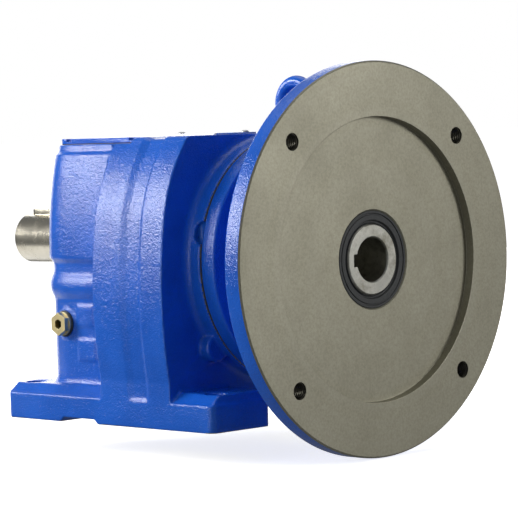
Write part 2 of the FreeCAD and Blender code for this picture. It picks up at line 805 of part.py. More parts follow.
def make_adaptor_bolts():
    """Hexagon bolts that hold the adaptor on the casting, with a washer face under each head."""
    seat = cell("adaptor_ring_front").number
    spread = cell("adaptor_bolt_circle").number / (2 * ROOT_2)
    across_flats, head_height, washer = 17.0, 7.0, 0.6
    bolt = hexagon_prism(across_flats, seat + washer, head_height - washer)
    rounding = turned_shape([(seat + washer, 0), (seat + washer, 9.8),
                             (seat + head_height - 1.4, 9.8), (seat + head_height, 8.2),
                             (seat + head_height, 0)])
    washer_face = turned_shape([(seat, 0), (seat, 8.2), (seat + washer, 8.2), (seat + washer, 0)])
    shank_end = cell("ring_face").number - 16
    shank = turned_shape([(shank_end, 0), (shank_end, 4.2), (shank_end + 0.8, BOLT_RADIUS),
                          (seat, BOLT_RADIUS), (seat, 0)])
    bolt = bolt.common(rounding).fuse([washer_face, shank]).removeSplitter()
    places = [(0, spread * i, spread * j) for i in (-1, 1) for j in (-1, 1)]
    plain_feature("adaptor_bolts", group_at(bolt, places), z=input_height)


def make_eyebolt():
    body = new_body("eyebolt", EYEBOLT_X, 0, EYEBOLT_SEAT)
    thread = EYEBOLT_THREAD_RADIUS - THREAD_GAP
    turned_about_z(body, [(0, -15), (thread - 0.5, -15), (thread, -14.2), (thread, 0),
                          (10, 0), (10, 3.5), (7, 6.5), (5, 9), (0, 9)])
    ring = body.newObject("PartDesign::AdditiveTorus", "eyebolt_ring")
    plane = next(item for item in body.Origin.OriginFeatures if item.Role == "XZ_Plane")
    ring.AttachmentSupport = [(plane, "")]
    ring.MapMode = "FlatFace"
    ring.AttachmentOffset = FreeCAD.Placement(FreeCAD.Vector(0, 18, 0), FreeCAD.Rotation())
    bind(ring, "Radius1", 14.0)
    bind(ring, "Radius2", 4.0)
    doc.recompute()


# ---------------------------------------------------------------- oil plugs

def make_plug(name, side, place, seat, tall=False):
    """A hexagon plug with a flange and a socket or a breather cap, and the ring under it."""
    x, z = place
    outward = -side
    back = side > 0
    ring_radius, ring_hole, ring_thickness = 8.6, 6.3, 1.3
    flange_radius, flange_thickness = 7.8, 1.4
    head_width, head_height, thread_length = 13.4, 3.6, 14.0
    ring = new_body(f"{name}_seal", x, 0, z)
    pad(ring, "XZ_Plane", seat * outward, ring_thickness,
        [Circle(ring_radius), Circle(ring_hole)], reverse=back)
    plug = new_body(name, x, 0, z)
    start = seat + ring_thickness
    head_start = start + flange_thickness
    head_end = head_start + head_height
    pad(plug, "XZ_Plane", start * outward, flange_thickness, [Circle(flange_radius)], reverse=back)
    pad(plug, "XZ_Plane", head_start * outward, head_height, [(hexagon(head_width),)],
        reverse=back)
    pad(plug, "XZ_Plane", (start - thread_length) * outward, thread_length,
        [Circle(PLUG_HOLE_RADIUS - THREAD_GAP)], reverse=back)
    if tall:
        neck_radius, neck_height, cap_radius, cap_height = 4.4, 3.0, 7.2, 6.0
        pad(plug, "XZ_Plane", head_end * outward, neck_height, [Circle(neck_radius)],
            reverse=back)
        pad(plug, "XZ_Plane", (head_end + neck_height) * outward, cap_height,
            [Circle(cap_radius)], reverse=back)
    else:
        socket_width, socket_depth = 5.8, 5.0
        pocket(plug, "XZ_Plane", head_end * outward, socket_depth, [(hexagon(socket_width),)],
               reverse=back)


def make_plugs():
    make_plug("oil_level_plug", -1, LEVEL_PLUG, LOW_PLUG_SEAT)
    make_plug("oil_drain_plug", 1, DRAIN_PLUG, LOW_PLUG_SEAT)
    make_plug("breather_plug", 1, BREATHER_PLUG, HIGH_PLUG_SEAT, tall=True)


# ---------------------------------------------------------------- motor adaptor

def adaptor_profile():
    """(x, radius) outline of the adaptor: ring, neck and flange outside, seats inside."""
    face, back = cell("flange_face"), cell("flange_back")
    floor = face - cell("recess_depth")
    rim = cell("flange_radius")
    recess = cell("recess_radius")
    neck = cell("neck_radius")
    front = cell("adaptor_ring_front")
    ring = cell("ring_radius")
    ring_back = cell("ring_face") + cell("adaptor_gasket_thickness")
    spigot = cell("spigot_radius")
    end = cell("spigot_end")
    seal = cell("input_seal_radius")
    front_bearing = BEARINGS["input_front_bearing"]
    rear_bearing = BEARINGS["input_rear_bearing"]
    front_seat, rear_seat = front_bearing.outside, rear_bearing.outside
    shoulder = front_bearing.rear + front_bearing.width
    chamber_front, chamber_radius = front_bearing.rear - 2.5, 39.0
    rear_end = rear_bearing.rear + rear_bearing.width
    groove_start, groove_radius = rear_bearing.rear - 2.7, rear_seat + 2
    corners = [
        (end, spigot - 1), (end + 1, spigot), (ring_back, spigot), (ring_back, ring),
        (front - 1, ring), (front, ring - 1), (front, neck + 4), (front + 4, neck),
        (back - 12, neck), (back, neck + 12), (back, rim - 1), (back + 1, rim),
        (face - 1.2, rim), (face, rim - 1.2), (face, recess), (floor, recess),
        (floor, seal + 0.8), (floor - 0.8, seal), (shoulder, seal),
        (shoulder, front_seat), (chamber_front, front_seat), (chamber_front, chamber_radius),
        (rear_end, chamber_radius), (rear_end, rear_seat), (rear_bearing.rear, rear_seat),
        (rear_bearing.rear, groove_radius), (groove_start, groove_radius),
        (groove_start, rear_seat), (end, rear_seat),
    ]
    return corners, {6: 4.0, 8: 13.0}, (6, 8)


def make_adaptor():
    body = new_body("input_adaptor", z=input_height)
    turned(body, *adaptor_profile())
    boss_radius = 10.4
    boss_top = EYEBOLT_SEAT - input_height
    boss_length = boss_top - cell("neck_radius") + 4
    pad(body, "XY_Plane", boss_top, boss_length, [Circle(boss_radius, EYEBOLT_X, 0)], reverse=True)
    pocket(body, "XY_Plane", boss_top + 1, 18.0, [Circle(EYEBOLT_THREAD_RADIUS, EYEBOLT_X, 0)])
    face = cell("flange_face")
    hole_radius = cell("flange_hole_radius")
    pocket(body, "YZ_Plane", face + 1, 20.0,
           four_around(cell("flange_bolt_circle") / (2 * ROOT_2), hole_radius))
    round_edges(body, "Chamfer", 1.1, lambda edge: is_circle(edge, hole_radius.number)
                and edge.BoundBox.XMin > face.number - TOLERANCE)
    bolts = four_around(cell("adaptor_bolt_circle") / (2 * ROOT_2), BOLT_RADIUS + 0.5)
    pocket(body, "YZ_Plane", cell("adaptor_ring_front") + 0.5, 14.0, bolts)

    gasket = new_body("adaptor_gasket", z=input_height)
    pad(gasket, "YZ_Plane", cell("ring_face"), cell("adaptor_gasket_thickness"),
        [Circle(cell("ring_radius") - 1.7), Circle(cell("spigot_radius") + 0.6)] + bolts)


# ---------------------------------------------------------------- bearings, seals and circlips

class Bearing:
    """A deep-groove ball bearing: bore and outside radius, width, and the station of its rear."""

    def __init__(self, name, rear, width, bore, outside, y, z):
        self.name = name
        self.rear = rear
        self.width = width
        self.bore = bore
        self.outside = outside
        self.place = (y, z)
        self.pitch = (bore + outside) / 2
        self.ball = 0.3 * (outside - bore)
        self.middle = rear + width / 2
        self.count = int(math.pi * self.pitch / (self.ball * 1.35))

    def ring(self, suffix, wall, side, gap):
        """One ring; side is 1 for the outer ring and -1 for the inner ring."""
        body = new_body(f"{self.name}_{suffix}", 0, *self.place)
        shoulder = self.pitch + side * 0.45 * self.ball
        groove = self.ball + gap
        reach = math.sqrt(groove ** 2 - (shoulder - self.pitch) ** 2)
        front = self.rear + self.width
        edge = 0.8
        turned(body, [
            (self.rear, wall - side * edge), (self.rear + edge, wall), (front - edge, wall),
            (front, wall - side * edge), (front, shoulder), (self.middle + reach, shoulder),
            (self.middle - reach, shoulder), (self.rear, shoulder)], {5: groove}, (5,))

    def make(self):
        self.ring("outer_ring", self.outside, 1, cell("running_gap").number)
        self.ring("inner_ring", self.bore, -1, 0.05)
        turn = 360 / self.count
        centres = [FreeCAD.Vector(self.middle, self.pitch * math.cos(math.radians(turn * i)),
                                  self.pitch * math.sin(math.radians(turn * i)))
                   for i in range(self.count)]
        balls = Part.makeCompound([Part.makeSphere(self.ball, centre) for centre in centres])
        plain_feature(f"{self.name}_balls", balls, 0, *self.place)
        half, depth = self.ball + 1.1, 0.24 * self.ball
        cage = turned_shape([(self.middle - half, self.pitch - depth),
                             (self.middle + half, self.pitch - depth),
                             (self.middle + half, self.pitch + depth),
                             (self.middle - half, self.pitch + depth)])
        middle = FreeCAD.Vector(self.middle, 0, 0)
        pockets = [Part.makeCylinder(self.ball + 0.25, self.outside, middle, centre - middle)
                   for centre in centres]
        plain_feature(f"{self.name}_cage", cage.cut(pockets), 0, *self.place)


INPUT_LINE = (0.0, input_height)
OUTPUT_LINE = (0.0, output_height)
INTERMEDIATE_LINE = (intermediate_y, intermediate_z)
ALL_BEARINGS = [
    Bearing("input_front_bearing", 121.5, 16.0, 22.5, 37.5, *INPUT_LINE),
    Bearing("input_rear_bearing", 63.0, 18.0, 20.0, 40.0, *INPUT_LINE),
    Bearing("intermediate_front_bearing", -4.0, 15.0, 12.5, 26.0, *INTERMEDIATE_LINE),
    Bearing("intermediate_rear_bearing", -80.0, 14.0, 10.0, 23.5, *INTERMEDIATE_LINE),
    Bearing("output_front_bearing", -4.0, 16.0, 15.0, 31.0, *OUTPUT_LINE),
    Bearing("output_rear_bearing", -95.0, 15.0, 20.0, 34.0, *OUTPUT_LINE),
]
BEARINGS = {bearing.name: bearing for bearing in ALL_BEARINGS}


def make_seal(name, inner_face, outer_face, case, shaft, line):
    """A rotary shaft seal whose closed side is at outer_face."""
    out = 1 if outer_face > inner_face else -1
    lip = shaft + cell("running_gap").number
    band = case - shaft
    body = new_body(name, 0, *line)
    turned(body, [
        (inner_face, case), (outer_face - 0.3 * out, case), (outer_face, case - 0.3),
        (outer_face, case - 0.5 * band), (outer_face - 1.4 * out, case - 0.55 * band),
        (outer_face - 1.4 * out, case - 0.7 * band), (outer_face - 0.3 * out, case - 0.8 * band),
        (outer_face - 0.3 * out, lip), (inner_face + 2.5 * out, lip),
        (inner_face + 1.0 * out, lip + 1.6), (inner_face + 1.0 * out, lip + 2.8),
        (outer_face - 2.6 * out, case - 0.45 * band), (outer_face - 2.6 * out, case - 0.3 * band),
        (inner_face, case - 0.3 * band)])


def make_circlip(name, rear, thickness, inner, outer, line, gap):
    """An open retaining ring: its gap is gap wide and points up."""
    body = new_body(name, 0, *line)
    pad(body, "YZ_Plane", rear, thickness, [Circle(outer), Circle(inner)])
    slot = box_corners(-gap / 2, gap / 2, inner / 2, outer + 2)
    pocket(body, "YZ_Plane", rear + thickness + 1, thickness + 2, [(slot,)])


def make_seals_and_circlips():
    make_seal("input_seal", 139.5, 147.5, cell("input_seal_radius").number,
              cell("input_sleeve_radius").number, INPUT_LINE)
    make_seal("output_seal", -97.8, -105.2, 34.0, 20.0, OUTPUT_LINE)
    make_circlip("input_bearing_circlip", 60.5, 2.4, 36.6, 41.8, INPUT_LINE, 14.0)
    make_circlip("output_bearing_circlip", -97.6, 2.5, 30.8, 35.8, OUTPUT_LINE, 12.0)
    make_circlip("input_shaft_circlip", 61.1, 1.8, 18.8, 22.5, INPUT_LINE, 8.0)
    make_circlip("intermediate_shaft_circlip", 48.05, 1.2, 11.7, 15.0, INTERMEDIATE_LINE, 5.0)
    make_circlip("output_shaft_circlip", 12.05, 1.5, 14.2, 17.5, OUTPUT_LINE, 6.0)


# ---------------------------------------------------------------- gears

class Gear:
    """Helical gear data; hand is 1 or -1 and middle is the station where the phase is set."""

    def __init__(self, module, helix, teeth, hand, middle, angle):
        self.teeth = int(cell(teeth).number)
        self.normal_module = cell(module).number
        self.helix = math.radians(cell(helix).number)
        self.radius = self.teeth * self.normal_module / math.cos(self.helix) / 2
        self.tip = self.radius + self.normal_module
        self.root = self.radius - 1.25 * self.normal_module
        self.hand = hand
        self.middle = middle
        self.angle = angle

    def flank(self):
        """(radius, half-angle of the tooth) from the root to the tip."""
        pressure = math.atan(math.tan(math.radians(20)) / math.cos(self.helix))
        base = self.radius * math.cos(pressure)
        thinning = cell("backlash").number / (4 * self.radius)
        pitch_half = math.pi / (2 * self.teeth) - thinning + math.tan(pressure) - pressure

        def half_angle(radius):
            roll = math.acos(min(1.0, base / max(radius, base)))
            return pitch_half - (math.tan(roll) - roll)

        start = max(base, self.root + 0.25 * self.normal_module)
        steps = 3
        radii = [start + (self.tip - start) * step / steps for step in range(steps + 1)]
        foot = half_angle(start) + 0.1 * self.normal_module / self.root
        return [(self.root, foot)] + [(r, half_angle(r)) for r in radii]

    def section(self, station):
        """The toothed outline at one station along X."""
        twist = self.hand * math.tan(self.helix) / self.radius * (station - self.middle)
        rising = [(radius, -half) for radius, half in self.flank()]
        tooth = rising + [(radius, -angle) for radius, angle in reversed(rising)]
        points = []
        for number in range(self.teeth):
            centre = self.angle + twist + 2 * math.pi * number / self.teeth
            points += [FreeCAD.Vector(station, radius * math.cos(centre + angle),
                                      radius * math.sin(centre + angle))
                       for radius, angle in tooth]
        return Part.makePolygon(points + points[:1])

    def solid(self, rear, front, steps):
        """The toothed solid. A step turns it by less than half a tooth, or the loft joins wrong teeth."""
        stations = [rear + (front - rear) * step / steps for step in range(steps + 1)]
        return Part.makeLoft([self.section(x) for x in stations], True, True)


FIRST_MIDDLE = 36.0
SECOND_MIDDLE = -46.0


def line_angle(start, end):
    """Direction from one axis to another in the YZ plane."""
    (y0, z0), (y1, z1) = ((sized(y).number, sized(z).number) for y, z in (start, end))
    return math.atan2(z1 - z0, y1 - y0)


def mesh_angle(angle, teeth):
    """Phase that puts a gap of the driven gear opposite a tooth of the driver."""
    return angle + math.pi + math.pi / cell(teeth).number


first_line = line_angle(INPUT_LINE, INTERMEDIATE_LINE)
second_line = line_angle(INTERMEDIATE_LINE, OUTPUT_LINE)
input_pinion = Gear("first_module", "first_helix", "input_pinion_teeth", 1, FIRST_MIDDLE,
                    first_line)
intermediate_wheel = Gear("first_module", "first_helix", "intermediate_wheel_teeth", -1,
                          FIRST_MIDDLE, mesh_angle(first_line, "intermediate_wheel_teeth"))
intermediate_pinion = Gear("second_module", "second_helix", "intermediate_pinion_teeth", -1,
                           SECOND_MIDDLE, second_line)
output_wheel = Gear("second_module", "second_helix", "output_wheel_teeth", 1, SECOND_MIDDLE,
                    mesh_angle(second_line, "output_wheel_teeth"))


def key_box(rear, front, width, low, high):
    return Part.makeBox(front - rear, width, high - low, FreeCAD.Vector(rear, -width / 2, low))


def make_gears():
    pinion = input_pinion.solid(22, 50, 6)
    shank = turned_shape([(50, 0), (50, 12.5), (58, 12.5), (58, 11), (75.5, 11), (76, 10.5),
                          (76, 0)])
    pinion = pinion.fuse(shank).cut(key_box(60, 74, 6.04, 7.48, 12))
    plain_feature("input_pinion", pinion, 0, *INPUT_LINE)
    plain_feature("input_pinion_key", key_box(60.02, 73.98, 6, 7.5, 13.5), 0, *INPUT_LINE)

    wheel = intermediate_wheel.solid(24, 48, 6)
    bore = turned_shape([(20, 0), (20, 12.52), (52, 12.52), (52, 0)])
    wheel = wheel.cut([bore, key_box(20, 52, 8.04, 8, 15.8)] + web_grooves(24, 48, 21, 34, 5))
    plain_feature("intermediate_wheel", wheel, 0, *INTERMEDIATE_LINE)
    plain_feature("intermediate_wheel_key", key_box(27.02, 44.98, 8, 8.52, 15.5), 0,
                  *INTERMEDIATE_LINE)

    teeth = intermediate_pinion.solid(-64, -28, 8)
    shaft = turned_shape([
        (-80, 0), (-80, 9.2), (-79.2, 10), (-66, 10), (-66, 12.6), (-64, 12.6), (-28, 12.6),
        (-26, 15), (-4, 15), (-4, 12.5), (48, 12.5), (48, 11.7), (49.35, 11.7), (49.35, 12.5),
        (50.5, 12.5), (51, 12), (51, 0)])
    shaft = teeth.fuse(shaft).cut(key_box(27, 45, 8.04, 8.5, 14))
    plain_feature("intermediate_pinion_shaft", shaft, 0, *INTERMEDIATE_LINE)

    wheel = output_wheel.solid(-62, -30, 4)
    bore = turned_shape([(-70, 0), (-70, 19.02), (-20, 19.02), (-20, 0)])
    wheel = wheel.cut([bore, key_box(-70, -20, 10.04, 14, 22.3)]
                      + web_grooves(-62, -30, 27, 41, 8))
    plain_feature("output_wheel", wheel, 0, *OUTPUT_LINE)
    plain_feature("output_wheel_key", key_box(-58.48, -33.52, 10, 14.02, 22), 0, *OUTPUT_LINE)


def web_grooves(rear, front, inner, outer, depth):
    """Turned recesses that leave a thinner web between a wheel's hub and its rim."""
    return [
        turned_shape([(rear - 1, inner), (rear - 1, outer), (rear + depth, outer - 2),
                      (rear + depth, inner + 2)]),
        turned_shape([(front + 1, inner), (front + 1, outer), (front - depth, outer - 2),
                      (front - depth, inner + 2)]),
    ]


# ---------------------------------------------------------------- shafts, keys and spacers

def slot(rear, front, half_width):
    """Corners and arcs of a keyway seen from above; its ends are just short of half circles."""
    end_radius = half_width + 0.01
    return ([(rear + half_width, -half_width), (front - half_width, -half_width),
             (front - half_width, half_width), (rear + half_width, half_width)],
            {1: end_radius, 3: end_radius})


def make_input_shaft():
    body = new_body("input_shaft", z=input_height)
    bore = cell("input_bore_radius")
    sleeve = cell("input_sleeve_radius")
    end = cell("input_end")
    turned(body, [
        (78, 0), (78, 11.02), (58, 11.02), (58, 19.2), (58.8, 20), (61, 20), (61, 18.8),
        (63, 18.8), (63, 20), (81, 20), (81, 23.5), (84, 26), (121.5, 26), (121.5, sleeve),
        (end - 0.8, sleeve), (end, sleeve - 0.8), (end, bore + 0.8), (end - 0.8, bore),
        (end - 60, bore), (end - 60, 0)])
    pocket(body, "YZ_Plane", end + 1, 61.0, [(box_corners(-bore - 3.3, -bore + 4, -4, 4),)])
    pocket(body, "YZ_Plane", 57, 18.0, [(box_corners(-3.02, 3.02, 9, 13.8),)], reverse=True)


def make_output_shaft():
    body = new_body("output_shaft", z=output_height)
    radius = cell("output_shaft_radius")
    shoulder = cell("output_shoulder")
    end = shoulder - cell("output_shaft_length")
    turned(body, [
        (end, 0), (end, radius - 1.5), (end + 1.5, radius), (shoulder, radius),
        (shoulder, 19.5), (shoulder + 0.5, 20), (-80, 20), (-80, 26), (-62, 26), (-62, 19),
        (-30, 19), (-30, 15), (12, 15), (12, 14.2), (13.7, 14.2), (13.7, 15), (15, 15),
        (15.5, 14.5), (15.5, 0)])
    turned(body, [(end - 1, 0), (end - 1, 8), (end, 8), (end + 2.8, 5.2), (end + 28, 5.2),
                  (end + 31, 0)], kind="Groove")
    key_rear, key_front, half = end + 4.5, end + 60.5, 5.0
    pocket(body, "XY_Plane", radius + 1, 6.0, [slot(key_rear, key_front, half + 0.02)])
    pocket(body, "XY_Plane", 20, 6.0, [(box_corners(-58.5, -33.5, -5.02, 5.02),)])

    key = new_body("output_shaft_key", z=output_height)
    pad(key, "XY_Plane", radius - 5, 8.0, [slot(key_rear + 0.02, key_front - 0.02, half)])
    round_edges(key, "Chamfer", 0.4, lambda edge: edge.BoundBox.ZMin > radius.number + 2.9)


def make_spacer(name, rear, front, inner, outer, line):
    body = new_body(name, 0, *line)
    pad(body, "YZ_Plane", rear, front - rear, [Circle(outer), Circle(inner)])


# ---------------------------------------------------------------- build, check and write

make_housing()
make_top_cover()
make_cover_screws()
make_nameplate()
make_adaptor_bolts()
make_eyebolt()
make_plugs()
make_adaptor()
for bearing in ALL_BEARINGS:
    bearing.make()
make_seals_and_circlips()
make_gears()
make_input_shaft()
make_output_shaft()
make_spacer("intermediate_spacer", 11.0, 24.0, 12.55, 16.5, INTERMEDIATE_LINE)
make_spacer("output_spacer", -30.0, -4.0, 15.05, 19.0, OUTPUT_LINE)
doc.recompute()

failed = [item.Name for item in doc.Objects if {"Invalid", "Error"} & set(item.State)]
if failed:
    raise RuntimeError(f"failed objects: {failed}")

os.makedirs("parts", exist_ok=True)
for item in doc.Objects:
    if item.TypeId not in ("PartDesign::Body", "Part::Feature"):
        continue
    if item.Shape.isNull() or not item.Shape.isValid() or item.Shape.Volume < 1:
        raise RuntimeError(f"bad shape: {item.Label}")
    item.Shape.exportStep(f"parts/{item.Label}.step")
    print(f"{item.Label}: {item.Shape.Volume:.0f} mm3, {len(item.Shape.Solids)} solid(s)")
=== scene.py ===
"""Looks of a foot-mounted in-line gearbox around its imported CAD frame.

Everything is in the row frame, in metres: +X along the shafts towards the motor flange, +Z up.
"""

import json
import math

import bmesh
import bpy
from mathutils import Matrix, Vector


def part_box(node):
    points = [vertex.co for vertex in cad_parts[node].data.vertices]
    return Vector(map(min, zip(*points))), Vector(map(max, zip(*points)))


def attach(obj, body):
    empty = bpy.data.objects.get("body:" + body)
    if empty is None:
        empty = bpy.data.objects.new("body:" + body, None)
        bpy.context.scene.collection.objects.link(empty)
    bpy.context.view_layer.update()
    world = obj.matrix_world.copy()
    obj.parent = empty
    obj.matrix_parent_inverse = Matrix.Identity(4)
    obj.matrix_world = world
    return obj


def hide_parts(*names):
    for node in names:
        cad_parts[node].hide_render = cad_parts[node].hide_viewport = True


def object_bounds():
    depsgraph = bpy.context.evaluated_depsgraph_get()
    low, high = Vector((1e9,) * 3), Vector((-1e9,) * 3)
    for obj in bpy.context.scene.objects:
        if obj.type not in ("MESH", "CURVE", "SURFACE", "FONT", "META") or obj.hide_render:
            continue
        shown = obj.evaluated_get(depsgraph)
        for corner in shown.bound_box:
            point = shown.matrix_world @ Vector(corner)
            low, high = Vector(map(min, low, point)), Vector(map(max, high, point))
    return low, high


MM = 0.001
TAU = 2 * math.pi

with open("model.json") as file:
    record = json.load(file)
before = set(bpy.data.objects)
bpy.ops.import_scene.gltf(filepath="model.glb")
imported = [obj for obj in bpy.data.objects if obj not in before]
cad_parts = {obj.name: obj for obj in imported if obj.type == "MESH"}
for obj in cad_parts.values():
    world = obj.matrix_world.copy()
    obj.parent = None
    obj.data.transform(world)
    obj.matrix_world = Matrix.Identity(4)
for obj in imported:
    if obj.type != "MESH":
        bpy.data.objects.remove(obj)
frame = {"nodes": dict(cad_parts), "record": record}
cad_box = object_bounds()
nodes = frame["nodes"]
mounts = {mount["name"]: mount for mount in frame["record"]["mounts"]}

# ---------------------------------------------------------------- places read from the frame

adaptor_low, adaptor_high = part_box("input_adaptor")
INPUT_Z = (adaptor_low.z + adaptor_high.z) / 2
FLANGE_RADIUS = (adaptor_high.z - adaptor_low.z) / 2
FLANGE_FACE = adaptor_high.x
shaft_low, shaft_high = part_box("output_shaft")
OUTPUT_Z = (shaft_low.z + shaft_high.z) / 2
RECESS_RADIUS = mounts["flange_pilot"]["dims"]["r_mm"] * MM
RECESS_DEPTH = mounts["flange_pilot"]["dims"]["length_mm"] * MM
BOLT_CIRCLE = mounts["flange_bolts"]["dims"]["pcd_mm"] * MM
ADAPTOR_BOLT_CIRCLE = 138 * MM
SPIGOT_RADIUS = 57.5 * MM


# ---------------------------------------------------------------- materials

class Surface:
    """A Principled material, with short ways to add nodes and join them."""

    def __init__(self, name, **sockets):
        self.material = bpy.data.materials.new(name)
        self.material.use_nodes = True
        self.tree = self.material.node_tree
        self.shader = self.tree.nodes["Principled BSDF"]
        self.place = self.node("ShaderNodeTexCoord").outputs["Object"]
        for socket, value in sockets.items():
            self.shader.inputs[socket.replace("_", " ")].default_value = value

    def node(self, kind, **settings):
        item = self.tree.nodes.new(kind)
        for name, value in settings.items():
            setattr(item, name, value)
        return item

    def feed(self, socket, value):
        """Link an output to a socket, or set the socket to a plain number."""
        if isinstance(value, bpy.types.NodeSocket):
            self.tree.links.new(value, socket)
        else:
            socket.default_value = value

    def drive(self, name, value):
        self.feed(self.shader.inputs[name], value)

    def maths(self, operation, *values):
        item = self.node("ShaderNodeMath", operation=operation)
        for socket, value in zip(item.inputs, values):
            self.feed(socket, value)
        return item.outputs[0]

    def stretched(self, scale):
        """The object coordinates scaled by a different amount along each axis."""
        item = self.node("ShaderNodeMapping")
        self.feed(item.inputs["Vector"], self.place)
        item.inputs["Scale"].default_value = scale
        return item.outputs[0]

    def noise(self, size, detail=2.0, rough=0.5, along=None):
        """Noise whose features are about size metres across."""
        item = self.node("ShaderNodeTexNoise")
        self.feed(item.inputs["Vector"], along or self.place)
        item.inputs["Scale"].default_value = 1 / size
        item.inputs["Detail"].default_value = detail
        item.inputs["Roughness"].default_value = rough
        return item.outputs["Fac"]

    def line_noise(self, coordinate, size, detail=2.0):
        """Noise along one coordinate only, for turning and grinding marks."""
        item = self.node("ShaderNodeTexNoise", noise_dimensions="1D")
        self.feed(item.inputs["W"], coordinate)
        item.inputs["Scale"].default_value = 1 / size
        item.inputs["Detail"].default_value = detail
        return item.outputs["Fac"]

    def cells(self, size):
        """Rounded cells about size metres across."""
        item = self.node("ShaderNodeTexVoronoi", feature="SMOOTH_F1")
        self.feed(item.inputs["Vector"], self.place)
        item.inputs["Scale"].default_value = 1 / size
        return item.outputs["Distance"]

    def spread(self, value, low, high, new_low=0.0, new_high=1.0):
        """Value remapped from low..high to new_low..new_high, clamped."""
        item = self.node("ShaderNodeMapRange")
        for name, number in (("Value", value), ("From Min", low), ("From Max", high),
                             ("To Min", new_low), ("To Max", new_high)):
            self.feed(item.inputs[name], number)
        return item.outputs[0]

    def blend(self, factor, first, second):
        """A colour between the first and the second; each is an output or an RGB tuple."""
        item = self.node("ShaderNodeMix", data_type="RGBA")
        self.feed(item.inputs["Factor"], factor)
        for socket, colour in ((item.inputs["A"], first), (item.inputs["B"], second)):
            self.feed(socket, colour if isinstance(colour, bpy.types.NodeSocket)
                      else (*colour, 1.0))
        return item.outputs["Result"]

    def radius_from(self, height):
        """Distance from the line along X at y 0 and the given height."""
        split = self.node("ShaderNodeSeparateXYZ")
        self.feed(split.inputs[0], self.place)
        across = self.maths("POWER", split.outputs["Y"], 2.0)
        rise = self.maths("SUBTRACT", split.outputs["Z"], height)
        squares = self.maths("ADD", across, self.maths("MULTIPLY", rise, rise))
        return self.maths("SQRT", squares)

    def along_x(self):
        """The X coordinate, which runs along every shaft."""
        split = self.node("ShaderNodeSeparateXYZ")
        self.feed(split.inputs[0], self.place)
        return split.outputs["X"]

    def bump(self, height, distance, under=None):
        """Relief of a distance in metres, on top of another bump where one is given."""
        item = self.node("ShaderNodeBump")
        item.inputs["Strength"].default_value = 1.0
        item.inputs["Distance"].default_value = distance
        self.feed(item.inputs["Height"], height)
        if under:
            self.feed(item.inputs["Normal"], under)
        self.drive("Normal", item.outputs[0])
        return item.outputs[0]


PAINT_BLUE = (0.012, 0.130, 0.66)
PAINT_DEEP = (0.009, 0.105, 0.56)
PAINT_PALE = (0.025, 0.175, 0.78)
IRON = (0.40, 0.380, 0.290)
IRON_STAINED = (0.29, 0.275, 0.205)
IRON_DARK = (0.17, 0.16, 0.12)
IRON_PALE = (0.42, 0.40, 0.33)


def hammered_paint(name, texture=1.0):
    """Gloss blue enamel on rough castings: orange peel, broad colour drift and pale specks."""
    skin = Surface(name, IOR=1.5)
    drift = skin.noise(0.030, detail=3.0)
    fine = skin.noise(0.0007, detail=1.0)
    colour = skin.blend(skin.spread(drift, 0.35, 0.65), PAINT_DEEP, PAINT_BLUE)
    colour = skin.blend(skin.spread(fine, 0.52, 0.75, 0.0, 0.4), colour, PAINT_PALE)
    skin.drive("Base Color", colour)
    skin.drive("Roughness", skin.spread(drift, 0.3, 0.7, 0.08, 0.14))
    peel = skin.noise(0.0009, detail=1.5, rough=0.6)
    pits = skin.cells(0.0014)
    height = skin.maths("ADD", peel, skin.maths("MULTIPLY", pits, 0.4))
    waves = skin.noise(0.0055, detail=1.0)
    under = skin.bump(waves, 0.00016 * texture)
    skin.bump(height, 0.00032 * texture, under)
    return skin.material


def turned_iron(name):
    """Cast iron turned on a lathe: fine rings, graphite grain and faint stains."""
    metal = Surface(name, Metallic=0.75, IOR=1.5)
    radius = metal.radius_from(INPUT_Z)
    rings = metal.line_noise(radius, 0.0007, detail=3.0)
    bands = metal.line_noise(radius, 0.012, detail=2.0)
    stain = metal.noise(0.05, detail=3.0, rough=0.55)
    grain = metal.noise(0.0016, detail=2.0, rough=0.7)
    colour = metal.blend(metal.spread(stain, 0.35, 0.7, 0.0, 0.6), IRON, IRON_STAINED)
    colour = metal.blend(metal.spread(grain, 0.36, 0.70, 0.0, 0.38), colour, IRON_DARK)
    colour = metal.blend(metal.spread(bands, 0.4, 0.7, 0.0, 0.15), colour, IRON_PALE)
    metal.drive("Base Color", colour)
    metal.drive("Roughness", metal.spread(stain, 0.3, 0.7, 0.42, 0.50))
    under = metal.bump(rings, 0.00002)
    metal.bump(grain, 0.00002, under)
    return metal.material


def raw_casting(name):
    """Unmachined, primed inside of the castings."""
    skin = Surface(name, Roughness=0.7)
    blotch = skin.noise(0.02, detail=4.0)
    skin.drive("Base Color", skin.blend(blotch, (0.20, 0.07, 0.045), (0.13, 0.05, 0.035)))
    skin.drive("Roughness", skin.spread(blotch, 0.3, 0.7, 0.55, 0.85))
    skin.bump(skin.noise(0.002, detail=3.0), 0.0002)
    return skin.material


def ground_steel(name, colour, dark, rough=0.2, stain=0.3):
    """Steel ground or turned about X, with marks round it, light oil stains and grain."""
    metal = Surface(name, Metallic=1.0)
    marks = metal.line_noise(metal.along_x(), 0.0004)
    film = metal.noise(0.014, detail=4.0, rough=0.65)
    specks = metal.noise(0.0009, detail=1.0)
    tint = metal.blend(metal.spread(film, 0.45, 0.75, 0.0, stain * 2), colour, dark)
    tint = metal.blend(metal.spread(specks, 0.55, 0.8, 0.0, 0.25), tint, dark)
    metal.drive("Base Color", tint)
    metal.drive("Roughness", metal.spread(film, 0.3, 0.75, rough, rough + 0.18))
    metal.bump(marks, 0.000012)
    return metal.material


